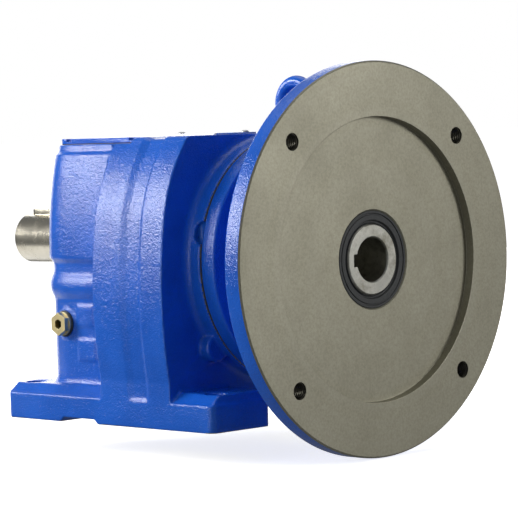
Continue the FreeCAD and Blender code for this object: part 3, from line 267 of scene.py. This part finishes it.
def plated(name, colour, dark, rough=0.28):
    """Zinc or passivated plating with a cloudy film and tiny scratches."""
    metal = Surface(name, Metallic=1.0)
    cloud = metal.noise(0.006, detail=3.0)
    scratch = metal.noise(0.0008, detail=2.0, along=metal.stretched((0.25, 1.0, 1.6)))
    metal.drive("Base Color", metal.blend(metal.spread(cloud, 0.35, 0.7), colour, dark))
    metal.drive("Roughness", metal.spread(cloud, 0.3, 0.7, rough, rough + 0.15))
    metal.bump(scratch, 0.00002)
    return metal.material


def moulded_rubber(name, colour=(0.035, 0.037, 0.037), shine=0.5):
    """Moulded nitrile rubber with a satin skin and dusty patches."""
    skin = Surface(name)
    dust = skin.noise(0.004, detail=3.0)
    pale = tuple(value * 2.2 for value in colour)
    skin.drive("Base Color", skin.blend(skin.spread(dust, 0.5, 0.75, 0.0, 0.6), colour, pale))
    skin.drive("Roughness", skin.spread(dust, 0.3, 0.7, shine - 0.08, shine + 0.15))
    skin.bump(skin.noise(0.0005, detail=2.0), 0.00003)
    return skin.material


MATERIALS = {
    "paint": hammered_paint("hammered_blue_paint"),
    "smooth_paint": hammered_paint("smooth_blue_paint", texture=0.45),
    "iron": turned_iron("turned_cast_iron"),
    "raw": raw_casting("raw_casting"),
    "steel": ground_steel("ground_steel", (0.74, 0.69, 0.57), (0.50, 0.44, 0.33),
                          rough=0.15, stain=0.15),
    "bore_steel": ground_steel("turned_steel", (0.56, 0.55, 0.49), (0.20, 0.185, 0.14),
                               rough=0.30, stain=0.6),
    # Near-black thread colour: oiled steel, darkened further as painted shade inside the tapped
    # flange holes.
    "thread": ground_steel("thread_dark_with_painted_shade", (0.10, 0.095, 0.075), (0.04, 0.038, 0.03), rough=0.4),
    "gear_steel": ground_steel("gear_steel", (0.42, 0.42, 0.41), (0.25, 0.25, 0.25), rough=0.3),
    "spring_steel": ground_steel("spring_steel", (0.07, 0.07, 0.075), (0.03, 0.03, 0.03),
                                 rough=0.4),
    "zinc": plated("zinc_plate", (0.55, 0.56, 0.57), (0.38, 0.39, 0.41)),
    "yellow_zinc": plated("yellow_passivated_zinc", (0.92, 0.80, 0.48), (0.72, 0.58, 0.28)),
    "plate": plated("satin_aluminium", (0.78, 0.78, 0.82), (0.66, 0.66, 0.71), rough=0.32),
    "cage": plated("brass_cage", (0.72, 0.53, 0.25), (0.50, 0.34, 0.14), rough=0.3),
    "rubber": moulded_rubber("nitrile_rubber"),
    "gasket": moulded_rubber("gasket_sheet", (0.014, 0.014, 0.015), 0.7),
}
SLOT_MATERIALS = {
    "blue_paint": "paint", "steel": "steel", "gear_steel": "gear_steel",
    "spring_steel": "spring_steel", "zinc_screw": "zinc", "yellow_zinc": "yellow_zinc",
    "seal_rubber": "rubber", "gasket": "gasket", "plate": "plate", "brass": "cage",
}
NODE_SLOTS = {part["node"]: part["material_slot"] for part in frame["record"]["subparts"]}


# ---------------------------------------------------------------- mesh helpers

def new_piece(name, mesh, material_names, body="casing", replaced=(), slot=None):
    """An object from a finished mesh, riding on a body and standing for CAD nodes."""
    piece = bpy.data.objects.new(name, mesh)
    bpy.context.scene.collection.objects.link(piece)
    for material in material_names:
        mesh.materials.append(MATERIALS[material])
    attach(piece, body)
    if replaced:
        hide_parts(*replaced)


def is_curved(face, gentle):
    """Whether a face turns by a gentle angle into a neighbour, as the facets of a curve do."""
    return any(len(edge.link_faces) == 2 and 0.002 < edge.calc_face_angle(0) < gentle
               for edge in face.edges)


def mesh_from(bm, name, smooth_angle=35, gentle=0.16):
    """A mesh from a bmesh: outward normals, curves smooth, planes and sharp edges kept crisp."""
    bmesh.ops.recalc_face_normals(bm, faces=bm.faces)
    for face in bm.faces:
        face.smooth = is_curved(face, gentle)
    limit = math.radians(smooth_angle)
    for edge in bm.edges:
        edge.smooth = not (len(edge.link_faces) == 2 and edge.calc_face_angle(0) > limit)
    mesh = bpy.data.meshes.new(name)
    bm.to_mesh(mesh)
    bm.free()
    return mesh


def cad_copy(node):
    """A welded bmesh copy of a CAD node."""
    bm = bmesh.new()
    bm.from_mesh(nodes[node].data)
    bmesh.ops.remove_doubles(bm, verts=bm.verts, dist=0.002 * MM)
    for face in bm.faces:
        face.material_index = 0
    return bm


SHARP_EDGE = math.radians(28)


def softened(node, name, width, materials=None, segments=2, body="casing"):
    """A copy of a CAD node with its sharp edges rounded, standing for the node."""
    bm = cad_copy(node)
    bmesh.ops.dissolve_limit(bm, angle_limit=math.radians(0.6), verts=bm.verts, edges=bm.edges)
    sharp = [edge for edge in bm.edges
             if len(edge.link_faces) == 2 and edge.calc_face_angle(0) > SHARP_EDGE]
    bmesh.ops.bevel(bm, geom=sharp, offset=width, offset_type="OFFSET", segments=segments,
                    profile=0.5, affect="EDGES", clamp_overlap=True)
    mesh = mesh_from(bm, name)
    slot = NODE_SLOTS[node]
    new_piece(name, mesh, materials or [SLOT_MATERIALS[slot]], body, [node], slot)


def rounded(corners, steps=4):
    """Profile points from (a, b, radius) corners: each corner with a radius becomes an arc."""
    count = len(corners)
    points = []
    for index, (a, b, radius) in enumerate(corners):
        here = Vector((a, b))
        if not radius:
            points.append(here)
            continue
        before = Vector(corners[index - 1][:2]) - here
        after = Vector(corners[(index + 1) % count][:2]) - here
        before.normalize()
        after.normalize()
        half = before.angle(after) / 2
        reach = radius / math.tan(half)
        centre = here + (before + after).normalized() * (radius / math.sin(half))
        start = here + before * reach - centre
        turn = start.angle_signed(here + after * reach - centre)
        for step in range(steps + 1):
            swing = Matrix.Rotation(-turn * step / steps, 2)
            points.append(centre + swing @ start)
    return points


def lathe(bm, profile, line_z, segments):
    """Turn a closed outline of (x, radius) points in mm about the X line at height line_z."""
    rings = []
    for step in range(segments):
        angle = TAU * step / segments
        across, rise = math.cos(angle), math.sin(angle)
        rings.append([bm.verts.new((point.x * MM, point.y * MM * across,
                                    line_z + point.y * MM * rise)) for point in profile])
    count = len(profile)
    for step, ring in enumerate(rings):
        following = rings[(step + 1) % segments]
        for index in range(count):
            after = (index + 1) % count
            bm.faces.new((ring[index], ring[after], following[after], following[index]))


def applied(obj):
    """Replace an object's mesh by the result of its modifiers."""
    graph = bpy.context.evaluated_depsgraph_get()
    mesh = bpy.data.meshes.new_from_object(obj.evaluated_get(graph))
    obj.modifiers.clear()
    obj.data = mesh
    return mesh


def scratch_object(name, bm):
    """A temporary object for modifiers, from a bmesh."""
    mesh = bpy.data.meshes.new(name)
    bm.to_mesh(mesh)
    bm.free()
    obj = bpy.data.objects.new(name, mesh)
    bpy.context.scene.collection.objects.link(obj)
    return obj


def combined(target, tool, operation):
    """Boolean of two scratch objects; the tool is removed."""
    modifier = target.modifiers.new("boolean", "BOOLEAN")
    modifier.operation = operation
    modifier.solver = "EXACT"
    modifier.object = tool
    applied(target)
    bpy.data.objects.remove(tool)


def cast_mesh(node, name, voxel, smoothing, triangles):
    """A copy of a CAD node with a casting's soft edges: remeshed, smoothed and thinned."""
    obj = scratch_object(name, cad_copy(node))
    remesh = obj.modifiers.new("remesh", "REMESH")
    remesh.mode = "VOXEL"
    remesh.voxel_size = voxel
    smooth = obj.modifiers.new("smooth", "SMOOTH")
    smooth.factor = 0.5
    smooth.iterations = smoothing
    mesh = applied(obj)
    faces = 2 * len(mesh.polygons)
    if faces > triangles:
        thin = obj.modifiers.new("thin", "DECIMATE")
        thin.ratio = triangles / faces
        mesh = applied(obj)
    bpy.data.objects.remove(obj)
    mesh.materials.clear()
    mesh.polygons.foreach_set("use_smooth", [True] * len(mesh.polygons))
    return mesh


def paint_faces(mesh, choose):
    """Give each face the material index that choose(centre, normal) returns."""
    for face in mesh.polygons:
        face.material_index = choose(face.center, face.normal)


# ---------------------------------------------------------------- castings

BORE_MARGIN = 0.0009


def in_bore(centre, y, z, radius):
    """Whether a point is on or within a bore along X, allowing for the remeshed surface."""
    return math.hypot(centre.y - y, centre.z - z) < radius + BORE_MARGIN


def inside_casting(spot):
    """Whether a point is on the walls of the two oil chambers or of the cover's opening.

    All sizes are in mm, and reach 1 mm into the walls.
    """
    x, across, z = spot.x / MM, abs(spot.y) / MM, spot.z / MM
    chamber_floor, chamber_top = 20, 172
    if chamber_top <= z < 180:
        opening_rear, opening_front, opening_half = -63, -13, 56
        return opening_rear < x < opening_front and across < opening_half
    if not chamber_floor < z < chamber_top:
        return False
    middle_of_web = 2
    if x < middle_of_web:
        rear, half, corner_radius = -77, 75, 26
        past_x, past_y = rear + 25 - x, across - (half - 25)
        corner = math.hypot(max(0.0, past_x), max(0.0, past_y))
        return rear < x and across < half and corner < corner_radius
    front, half, haunch = 54, 92, 110
    slope = 17 / 62
    return x < front and across < half - max(0.0, z - haunch) * slope


def make_housing():
    """The cast housing with softened edges, machined seats and a primed inside."""
    mesh = cast_mesh("housing", "cast_housing", 1.05 * MM, 2, 190000)
    outer_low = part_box("housing")[0]
    lid_low, lid_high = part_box("top_cover_gasket")
    ring_low, ring_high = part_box("intermediate_front_bearing_outer_ring")
    middle_y, middle_z = (ring_low + ring_high).yz / 2
    ring_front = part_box("adaptor_gasket")[0].x
    ring_face_radius, output_bore, middle_bore = 78.5 * MM, 35.9 * MM, 26.0 * MM
    near = 0.4 * MM
    square_on = 0.8
    paint, iron, raw = 0, 1, 2

    def machined(centre, normal):
        """Whether a face is on a machined foot, seat or bore."""
        on_ring = abs(centre.x - ring_front) < near and normal.x > square_on
        if on_ring and in_bore(centre, 0.0, INPUT_Z, ring_face_radius):
            return True
        under_lid = lid_low.x < centre.x < lid_high.x and lid_low.y < centre.y < lid_high.y
        if under_lid and abs(centre.z - lid_low.z) < near:
            return True
        on_output_boss = centre.x < outer_low.x + near and normal.x < -square_on
        if on_output_boss or centre.z < outer_low.z + near:
            return True
        if in_bore(centre, 0.0, OUTPUT_Z, output_bore):
            return True
        inner_walls = -82 * MM < centre.x < 13 * MM and normal.x > -0.3
        if inner_walls and in_bore(centre, middle_y, middle_z, middle_bore):
            return True
        return centre.x > 50 * MM and in_bore(centre, 0.0, INPUT_Z, SPIGOT_RADIUS + 0.1 * MM)

    def choose(centre, normal):
        if machined(centre, normal):
            return iron
        return raw if inside_casting(centre) else paint

    paint_faces(mesh, choose)
    new_piece("cast_housing", mesh, ["paint", "iron", "raw"], "casing", ["housing"],
              "blue_paint")


def make_eyebolt():
    """The forged eyebolt, painted with the castings."""
    mesh = cast_mesh("eyebolt", "forged_eyebolt", 0.6 * MM, 4, 60000)
    new_piece("forged_eyebolt", mesh, ["smooth_paint"], "casing", ["eyebolt"], "blue_paint")


def round_bar(radius, start, end, y, z, along="X", chamfer=0.0):
    """A closed cylinder between two stations, as a bmesh; chamfer widens its end.

    Along X its centre line is at (y, z). Along Z it is at (x, y), given in their place.
    """
    bm = bmesh.new()
    segments = 48
    stations = [(start, radius), (end, radius)]
    if chamfer:
        stations = [(start, radius), (end - chamfer, radius), (end, radius + chamfer),
                    (end + chamfer, radius + 2 * chamfer)]
    rings = []
    for station, size in stations:
        ring = []
        for step in range(segments):
            angle = TAU * step / segments
            first, second = size * math.cos(angle), size * math.sin(angle)
            spot = ((station, y + first, z + second) if along == "X"
                    else (y + first, z + second, station))
            ring.append(bm.verts.new(spot))
        rings.append(ring)
    for low, high in zip(rings, rings[1:]):
        for step in range(segments):
            after = (step + 1) % segments
            bm.faces.new((low[step], low[after], high[after], high[step]))
    bm.faces.new(rings[0][::-1])
    bm.faces.new(rings[-1])
    bmesh.ops.recalc_face_normals(bm, faces=bm.faces)
    return bm


def square_places(circle):
    """Four (y, z) places at 45 degrees on a bolt circle round the input line."""
    reach = circle / 2 / math.sqrt(2)
    return [(reach * i, INPUT_Z + reach * j) for i in (-1, 1) for j in (-1, 1)]


THREAD_RADIUS = 5.4 * MM
THREAD_PITCH = 1.75 * MM
THREAD_DEPTH = 0.6 * MM
FLANGE_BACK, NECK_RADIUS = 141.0, 56.0
RING_BACK, RING_FRONT, RING_RADIUS = 74.5, 86.0, 80.0


def adaptor_outline():
    """(x, radius, rounding) corners of the adaptor in mm: outside first, then back inside."""
    face, rim, recess = FLANGE_FACE / MM, FLANGE_RADIUS / MM, RECESS_RADIUS / MM
    floor = face - RECESS_DEPTH / MM
    spigot, end = SPIGOT_RADIUS / MM, 58.0
    rim_chamfer, seal_seat, seat_chamfer = 1.1, 31.0, 0.8
    front_seat, front_seat_end, chamber, chamber_front = 37.5, 137.5, 39, 119
    rear_seat, rear_seat_end, rear_shoulder = 40, 81, 63
    groove, groove_end = 42, 60.3
    return [
        (end, spigot - 1, 0), (end + 1, spigot, 0), (RING_BACK, spigot, 0),
        (RING_BACK, RING_RADIUS, 0.9), (RING_FRONT, RING_RADIUS, 1.6),
        (RING_FRONT, NECK_RADIUS, 4.0), (FLANGE_BACK, NECK_RADIUS, 13.0),
        (FLANGE_BACK, rim, 1.8), (face - rim_chamfer, rim, 0.25),
        (face, rim - rim_chamfer, 0.25), (face, recess, 0.3), (floor, recess, 0.35),
        (floor, seal_seat + seat_chamfer, 0), (floor - seat_chamfer, seal_seat, 0),
        (front_seat_end, seal_seat, 0), (front_seat_end, front_seat, 0),
        (chamber_front, front_seat, 0), (chamber_front, chamber, 0),
        (rear_seat_end, chamber, 0), (rear_seat_end, rear_seat, 0),
        (rear_shoulder, rear_seat, 0), (rear_shoulder, groove, 0), (groove_end, groove, 0),
        (groove_end, rear_seat, 0), (end, rear_seat, 0),
    ]


def make_adaptor():
    """The motor adaptor: painted casting, turned flange face, recess and bores."""
    bm = bmesh.new()
    lathe(bm, rounded(adaptor_outline(), 5), INPUT_Z, 240)
    bmesh.ops.recalc_face_normals(bm, faces=bm.faces)
    adaptor = scratch_object("adaptor_casting", bm)

    eye_low, eye_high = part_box("eyebolt")
    eye_x = (eye_low.x + eye_high.x) / 2
    eye_boss_radius, eye_hole_radius, bolt_hole_radius = 10.4 * MM, 4.0 * MM, 5.5 * MM
    boss_top = eye_low.z + 15 * MM
    boss = round_bar(eye_boss_radius, 150 * MM, boss_top, eye_x, 0.0, along="Z")
    combined(adaptor, scratch_object("boss", boss), "UNION")
    holes = [round_bar(THREAD_RADIUS, (FLANGE_BACK - 1) * MM, FLANGE_FACE, y, z,
                       chamfer=0.2 * MM) for y, z in square_places(BOLT_CIRCLE)]
    holes += [round_bar(bolt_hole_radius, 70 * MM, 90 * MM, y, z)
              for y, z in square_places(ADAPTOR_BOLT_CIRCLE)]
    holes.append(round_bar(eye_hole_radius, 168 * MM, 190 * MM, eye_x, 0.0, along="Z"))
    for hole in holes:
        combined(adaptor, scratch_object("hole", hole), "DIFFERENCE")

    bm = bmesh.new()
    bm.from_mesh(adaptor.data)
    bpy.data.objects.remove(adaptor)
    mesh = mesh_from(bm, "adaptor_casting", 30, 0.07)

    paint, iron, thread = 0, 1, 2

    def choose(centre, normal):
        radius = math.hypot(centre.y, centre.z - INPUT_Z)
        in_hole = any(in_bore(centre, y, z, THREAD_RADIUS) for y, z in square_places(BOLT_CIRCLE))
        turned_side = centre.x > FLANGE_FACE - 1.0 * MM or (
            centre.x > (FLANGE_BACK + 1.5) * MM and radius < RECESS_RADIUS + 0.5 * MM)
        outside = radius > (NECK_RADIUS - 1.5) * MM and (
            centre.x > (RING_BACK + 0.05) * MM or radius > (RING_RADIUS - 1.2) * MM)
        # Hole walls get the near-black thread colour: painted shade inside the tapped holes.
        if in_hole and abs(normal.x) < 0.3:
            return thread
        return iron if turned_side or not outside else paint

    paint_faces(mesh, choose)
    new_piece("adaptor_casting", mesh, ["paint", "iron", "thread"], "casing",
              ["input_adaptor"], "blue_paint")
    make_threads(FLANGE_BACK * MM)


def make_threads(start):
    """Sleeves with a helical thread inside, one in each tapped flange hole, coloured near black
    as painted shade.
    """
    bm = bmesh.new()
    turns = int((FLANGE_FACE - start) / THREAD_PITCH)
    around, per_turn = 40, 6
    rows = turns * per_turn
    end = FLANGE_FACE - 1.0 * MM
    outer_radius = THREAD_RADIUS + 0.05 * MM
    for y, z in square_places(BOLT_CIRCLE):
        inner, outer = [], []
        for row in range(rows + 1):
            station = start + (end - start) * row / rows
            ring_in, ring_out = [], []
            for step in range(around):
                angle = TAU * step / around
                phase = (station / THREAD_PITCH + step / around) % 1.0
                radius = THREAD_RADIUS - THREAD_DEPTH * (1 - abs(2 * phase - 1))
                cosine, sine = math.cos(angle), math.sin(angle)
                ring_in.append(bm.verts.new((station, y + radius * cosine, z + radius * sine)))
                ring_out.append(bm.verts.new((station, y + outer_radius * cosine,
                                              z + outer_radius * sine)))
            inner.append(ring_in)
            outer.append(ring_out)
        for rings in (inner, outer):
            for low, high in zip(rings, rings[1:]):
                for step in range(around):
                    after = (step + 1) % around
                    bm.faces.new((low[step], low[after], high[after], high[step]))
        for row in (0, -1):
            for step in range(around):
                after = (step + 1) % around
                bm.faces.new((inner[row][step], inner[row][after],
                              outer[row][after], outer[row][step]))
    mesh = mesh_from(bm, "flange_threads", 50)
    new_piece("flange_threads", mesh, ["thread"], "casing", slot="blue_paint")


# ---------------------------------------------------------------- seals

def make_input_seal():
    """The shaft seal in the flange: moulded rings, a lip and raised moulding dots."""
    low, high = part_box("input_seal")
    inner, outer, face = 22.8, (high.z - low.z) / 2 / MM, high.x / MM
    corners = [
        (low.x / MM, outer, 0), (face - 0.5, outer, 0.2), (face, outer - 0.5, 0.25),
        (face, outer - 1.7, 0.2), (face - 0.7, outer - 2.0, 0.2), (face - 0.7, outer - 2.7, 0.2),
        (face - 0.1, outer - 3.0, 0.2), (face - 0.1, 25.0, 0.4), (face - 1.6, 24.3, 0.3),
        (face - 1.6, 23.6, 0.2), (face - 0.5, 23.2, 0.15), (face - 0.9, inner, 0.15),
        (face - 3.4, inner + 0.9, 0.3), (low.x / MM + 1, inner, 0.3), (low.x / MM + 1, 25.5, 0.5),
        (face - 2.6, 27.0, 0.5), (low.x / MM, 28.5, 0),
    ]
    bm = bmesh.new()
    lathe(bm, rounded(corners, 3), INPUT_Z, 144)
    marks, mark_circle = 36, 26.7 * MM
    long_mark, short_mark = Vector((0.35, 1.1, 0.45)) * MM, Vector((0.35, 0.5, 0.9)) * MM
    for index in range(marks):
        angle = TAU * index / marks
        size = long_mark if index % 9 in (0, 1, 3, 4) else short_mark
        place = Matrix.Translation((0, 0, INPUT_Z)) @ Matrix.Rotation(angle, 4, "X")
        place = place @ Matrix.Translation(((face - 0.15) * MM, 0, mark_circle))
        made = bmesh.ops.create_icosphere(bm, subdivisions=1, radius=1.0,
                                          matrix=place @ Matrix.Diagonal((*size, 1.0)))
        for vertex in made["verts"]:
            vertex.co.x = min(vertex.co.x, high.x)
    mesh = mesh_from(bm, "input_shaft_seal", 45, 0.07)
    new_piece("input_shaft_seal", mesh, ["rubber"], "casing", ["input_seal"], "seal_rubber")


# ---------------------------------------------------------------- softened machine parts

def soften_machine_parts():
    """Edges broken on the covers, fasteners and shafts that show."""
    softened("top_cover", "inspection_cover", 0.8 * MM, ["smooth_paint"], 3)
    softened("top_cover_screws", "cover_screws", 0.2 * MM)
    softened("nameplate", "blank_plate", 0.2 * MM)
    softened("nameplate_rivets", "plate_rivets", 0.15 * MM)
    softened("adaptor_bolts", "adaptor_bolt_set", 0.4 * MM)
    softened("oil_level_plug", "level_plug", 0.45 * MM, segments=3)
    softened("oil_drain_plug", "drain_plug", 0.45 * MM, segments=3)
    softened("breather_plug", "breather", 0.45 * MM, segments=3)
    for plug in ("oil_level_plug", "oil_drain_plug", "breather_plug"):
        softened(f"{plug}_seal", f"{plug}_washer", 0.4 * MM, segments=3)
    softened("input_shaft", "hollow_input_shaft", 0.25 * MM, ["bore_steel"], body="input_train")
    softened("output_shaft", "output_shaft_journal", 0.2 * MM, body="output_train")
    softened("output_shaft_key", "output_key", 0.15 * MM, body="output_train")
    softened("output_seal", "output_shaft_seal", 0.2 * MM)
    softened("adaptor_gasket", "adaptor_joint", 0.1 * MM)


# ---------------------------------------------------------------- stage, lights and camera

def make_stage():
    """A pale floor just under the lowest point of the flange, glowing like the white backdrop;
    the glow is painted light, dimmer near the gearbox.
    """
    reach = 30.0
    bm = bmesh.new()
    bmesh.ops.create_grid(bm, x_segments=8, y_segments=8, size=reach)
    for vertex in bm.verts:
        vertex.co.z = cad_box[0].z - 0.5 * MM
    mesh = bpy.data.meshes.new("floor")
    bm.to_mesh(mesh)
    bm.free()
    floor = bpy.data.objects.new("floor", mesh)
    bpy.context.scene.collection.objects.link(floor)
    pale = Surface("pale_glowing_floor", Roughness=0.9)
    cloud = pale.noise(0.8, detail=2.0)
    tint = pale.blend(cloud, (0.96, 0.96, 0.96), (0.98, 0.98, 0.98))
    pale.drive("Base Color", tint)
    pale.drive("Emission Color", tint)
    away = pale.node("ShaderNodeVectorMath", operation="LENGTH")
    pale.feed(away.inputs[0], pale.place)
    # Painted light: the floor glows less within 0.25 m of the origin, so shadows show under the
    # gearbox, and more out to 0.9 m, where it turns white.
    pale.drive("Emission Strength", pale.spread(away.outputs["Value"], 0.25, 0.9, 0.78, 1.05))
    mesh.materials.append(pale.material)
    floor.visible_diffuse = False
    floor.visible_glossy = False


def make_world():
    """Soft white surroundings, brighter to the camera than to the object."""
    world = bpy.data.worlds.new("studio")
    bpy.context.scene.world = world
    world.use_nodes = True
    tree = world.node_tree
    tree.nodes.clear()
    output = tree.nodes.new("ShaderNodeOutputWorld")
    mix = tree.nodes.new("ShaderNodeMixShader")
    path = tree.nodes.new("ShaderNodeLightPath")
    dim = tree.nodes.new("ShaderNodeBackground")
    bright = tree.nodes.new("ShaderNodeBackground")
    dim.inputs["Color"].default_value = (0.93, 0.96, 1.0, 1.0)
    dim.inputs["Strength"].default_value = 0.16
    bright.inputs["Strength"].default_value = 1.0
    bright.inputs["Color"].default_value = (1.0, 1.0, 1.0, 1.0)
    tree.links.new(path.outputs["Is Camera Ray"], mix.inputs["Fac"])
    tree.links.new(dim.outputs[0], mix.inputs[1])
    tree.links.new(bright.outputs[0], mix.inputs[2])
    tree.links.new(mix.outputs[0], output.inputs["Surface"])


def softbox(name, aim, direction, distance, width, height, radiance):
    """A white rectangular light that faces a point; radiance is its own brightness."""
    light = bpy.data.lights.new(name, "AREA")
    light.shape = "RECTANGLE"
    light.size, light.size_y = width, height
    light.energy = radiance * math.pi * width * height
    lamp = bpy.data.objects.new(name, light)
    bpy.context.scene.collection.objects.link(lamp)
    away = Vector(direction).normalized()
    lamp.rotation_mode = "QUATERNION"
    lamp.rotation_quaternion = away.to_track_quat("Z", "Y")
    lamp.location = Vector(aim) + away * distance
    return lamp


def make_lights():
    """A high key along the visible side, softer cards round it and one under the shaft."""
    middle = (cad_box[0] + cad_box[1]) / 2
    key_aim = middle + Vector((0, 0, 0.46))
    below_shaft = (-0.34, -0.02, 0.10)
    softbox("key", key_aim, (-0.70, -0.71, 0.0), 1.2, 0.68, 0.50, 13.5)
    softbox("side", middle, (0.0, -1.0, 0.15), 2.2, 1.4, 1.4, 1.8)
    softbox("fill", middle, (0.89, 0.415, 0.19), 2.5, 0.8, 0.8, 10.0)
    under = softbox("under", below_shaft, (0.0, 0.0, -1.0), 0.115, 0.34, 0.34, 0.8)
    under.visible_camera = False
    softbox("top", middle, (-0.15, 0.15, 1.0), 1.6, 1.6, 1.6, 1.2)
    behind = softbox("behind", middle, (-0.70, 0.70, 0.10), 2.5, 2.2, 1.4, 2.2)
    behind.visible_camera = False


def make_camera():
    """The long lens of the product view, from the flange side and a little above."""
    azimuth, elevation, roll = math.radians(45.05), math.radians(2.908), math.radians(-1.827)
    distance, aside, above = 1.69217, 0.076315, -0.00035    # from the flange's centre
    back = Vector((math.sin(azimuth) * math.cos(elevation),
                   -math.cos(azimuth) * math.cos(elevation), math.sin(elevation)))
    right = Vector((math.cos(azimuth), math.sin(azimuth), 0.0))
    up = back.cross(right)
    tilted_right = right * math.cos(roll) + up * math.sin(roll)
    tilted_up = up * math.cos(roll) - right * math.sin(roll)
    camera = bpy.data.objects.new("camera", bpy.data.cameras.new("camera"))
    bpy.context.scene.collection.objects.link(camera)
    camera.data.lens = 187.12
    camera.data.sensor_width = 36.0
    camera.data.dof.use_dof = False
    flange_centre = Vector((FLANGE_FACE, 0.0, INPUT_Z))
    place = flange_centre + back * distance - tilted_right * aside - tilted_up * above
    turn = Matrix((tilted_right, tilted_up, back)).transposed().to_4x4()
    camera.matrix_world = Matrix.Translation(place) @ turn
    camera.data.clip_start, camera.data.clip_end = 0.1, 100.0
    bpy.context.scene.camera = camera


# ---------------------------------------------------------------- build

for node, obj in nodes.items():
    obj.data.materials.clear()
    obj.data.materials.append(MATERIALS[SLOT_MATERIALS[NODE_SLOTS[node]]])

make_housing()
make_adaptor()
make_eyebolt()
make_input_seal()
soften_machine_parts()
make_stage()
make_world()
make_lights()
make_camera()

bpy.context.scene.view_settings.view_transform = "Standard"
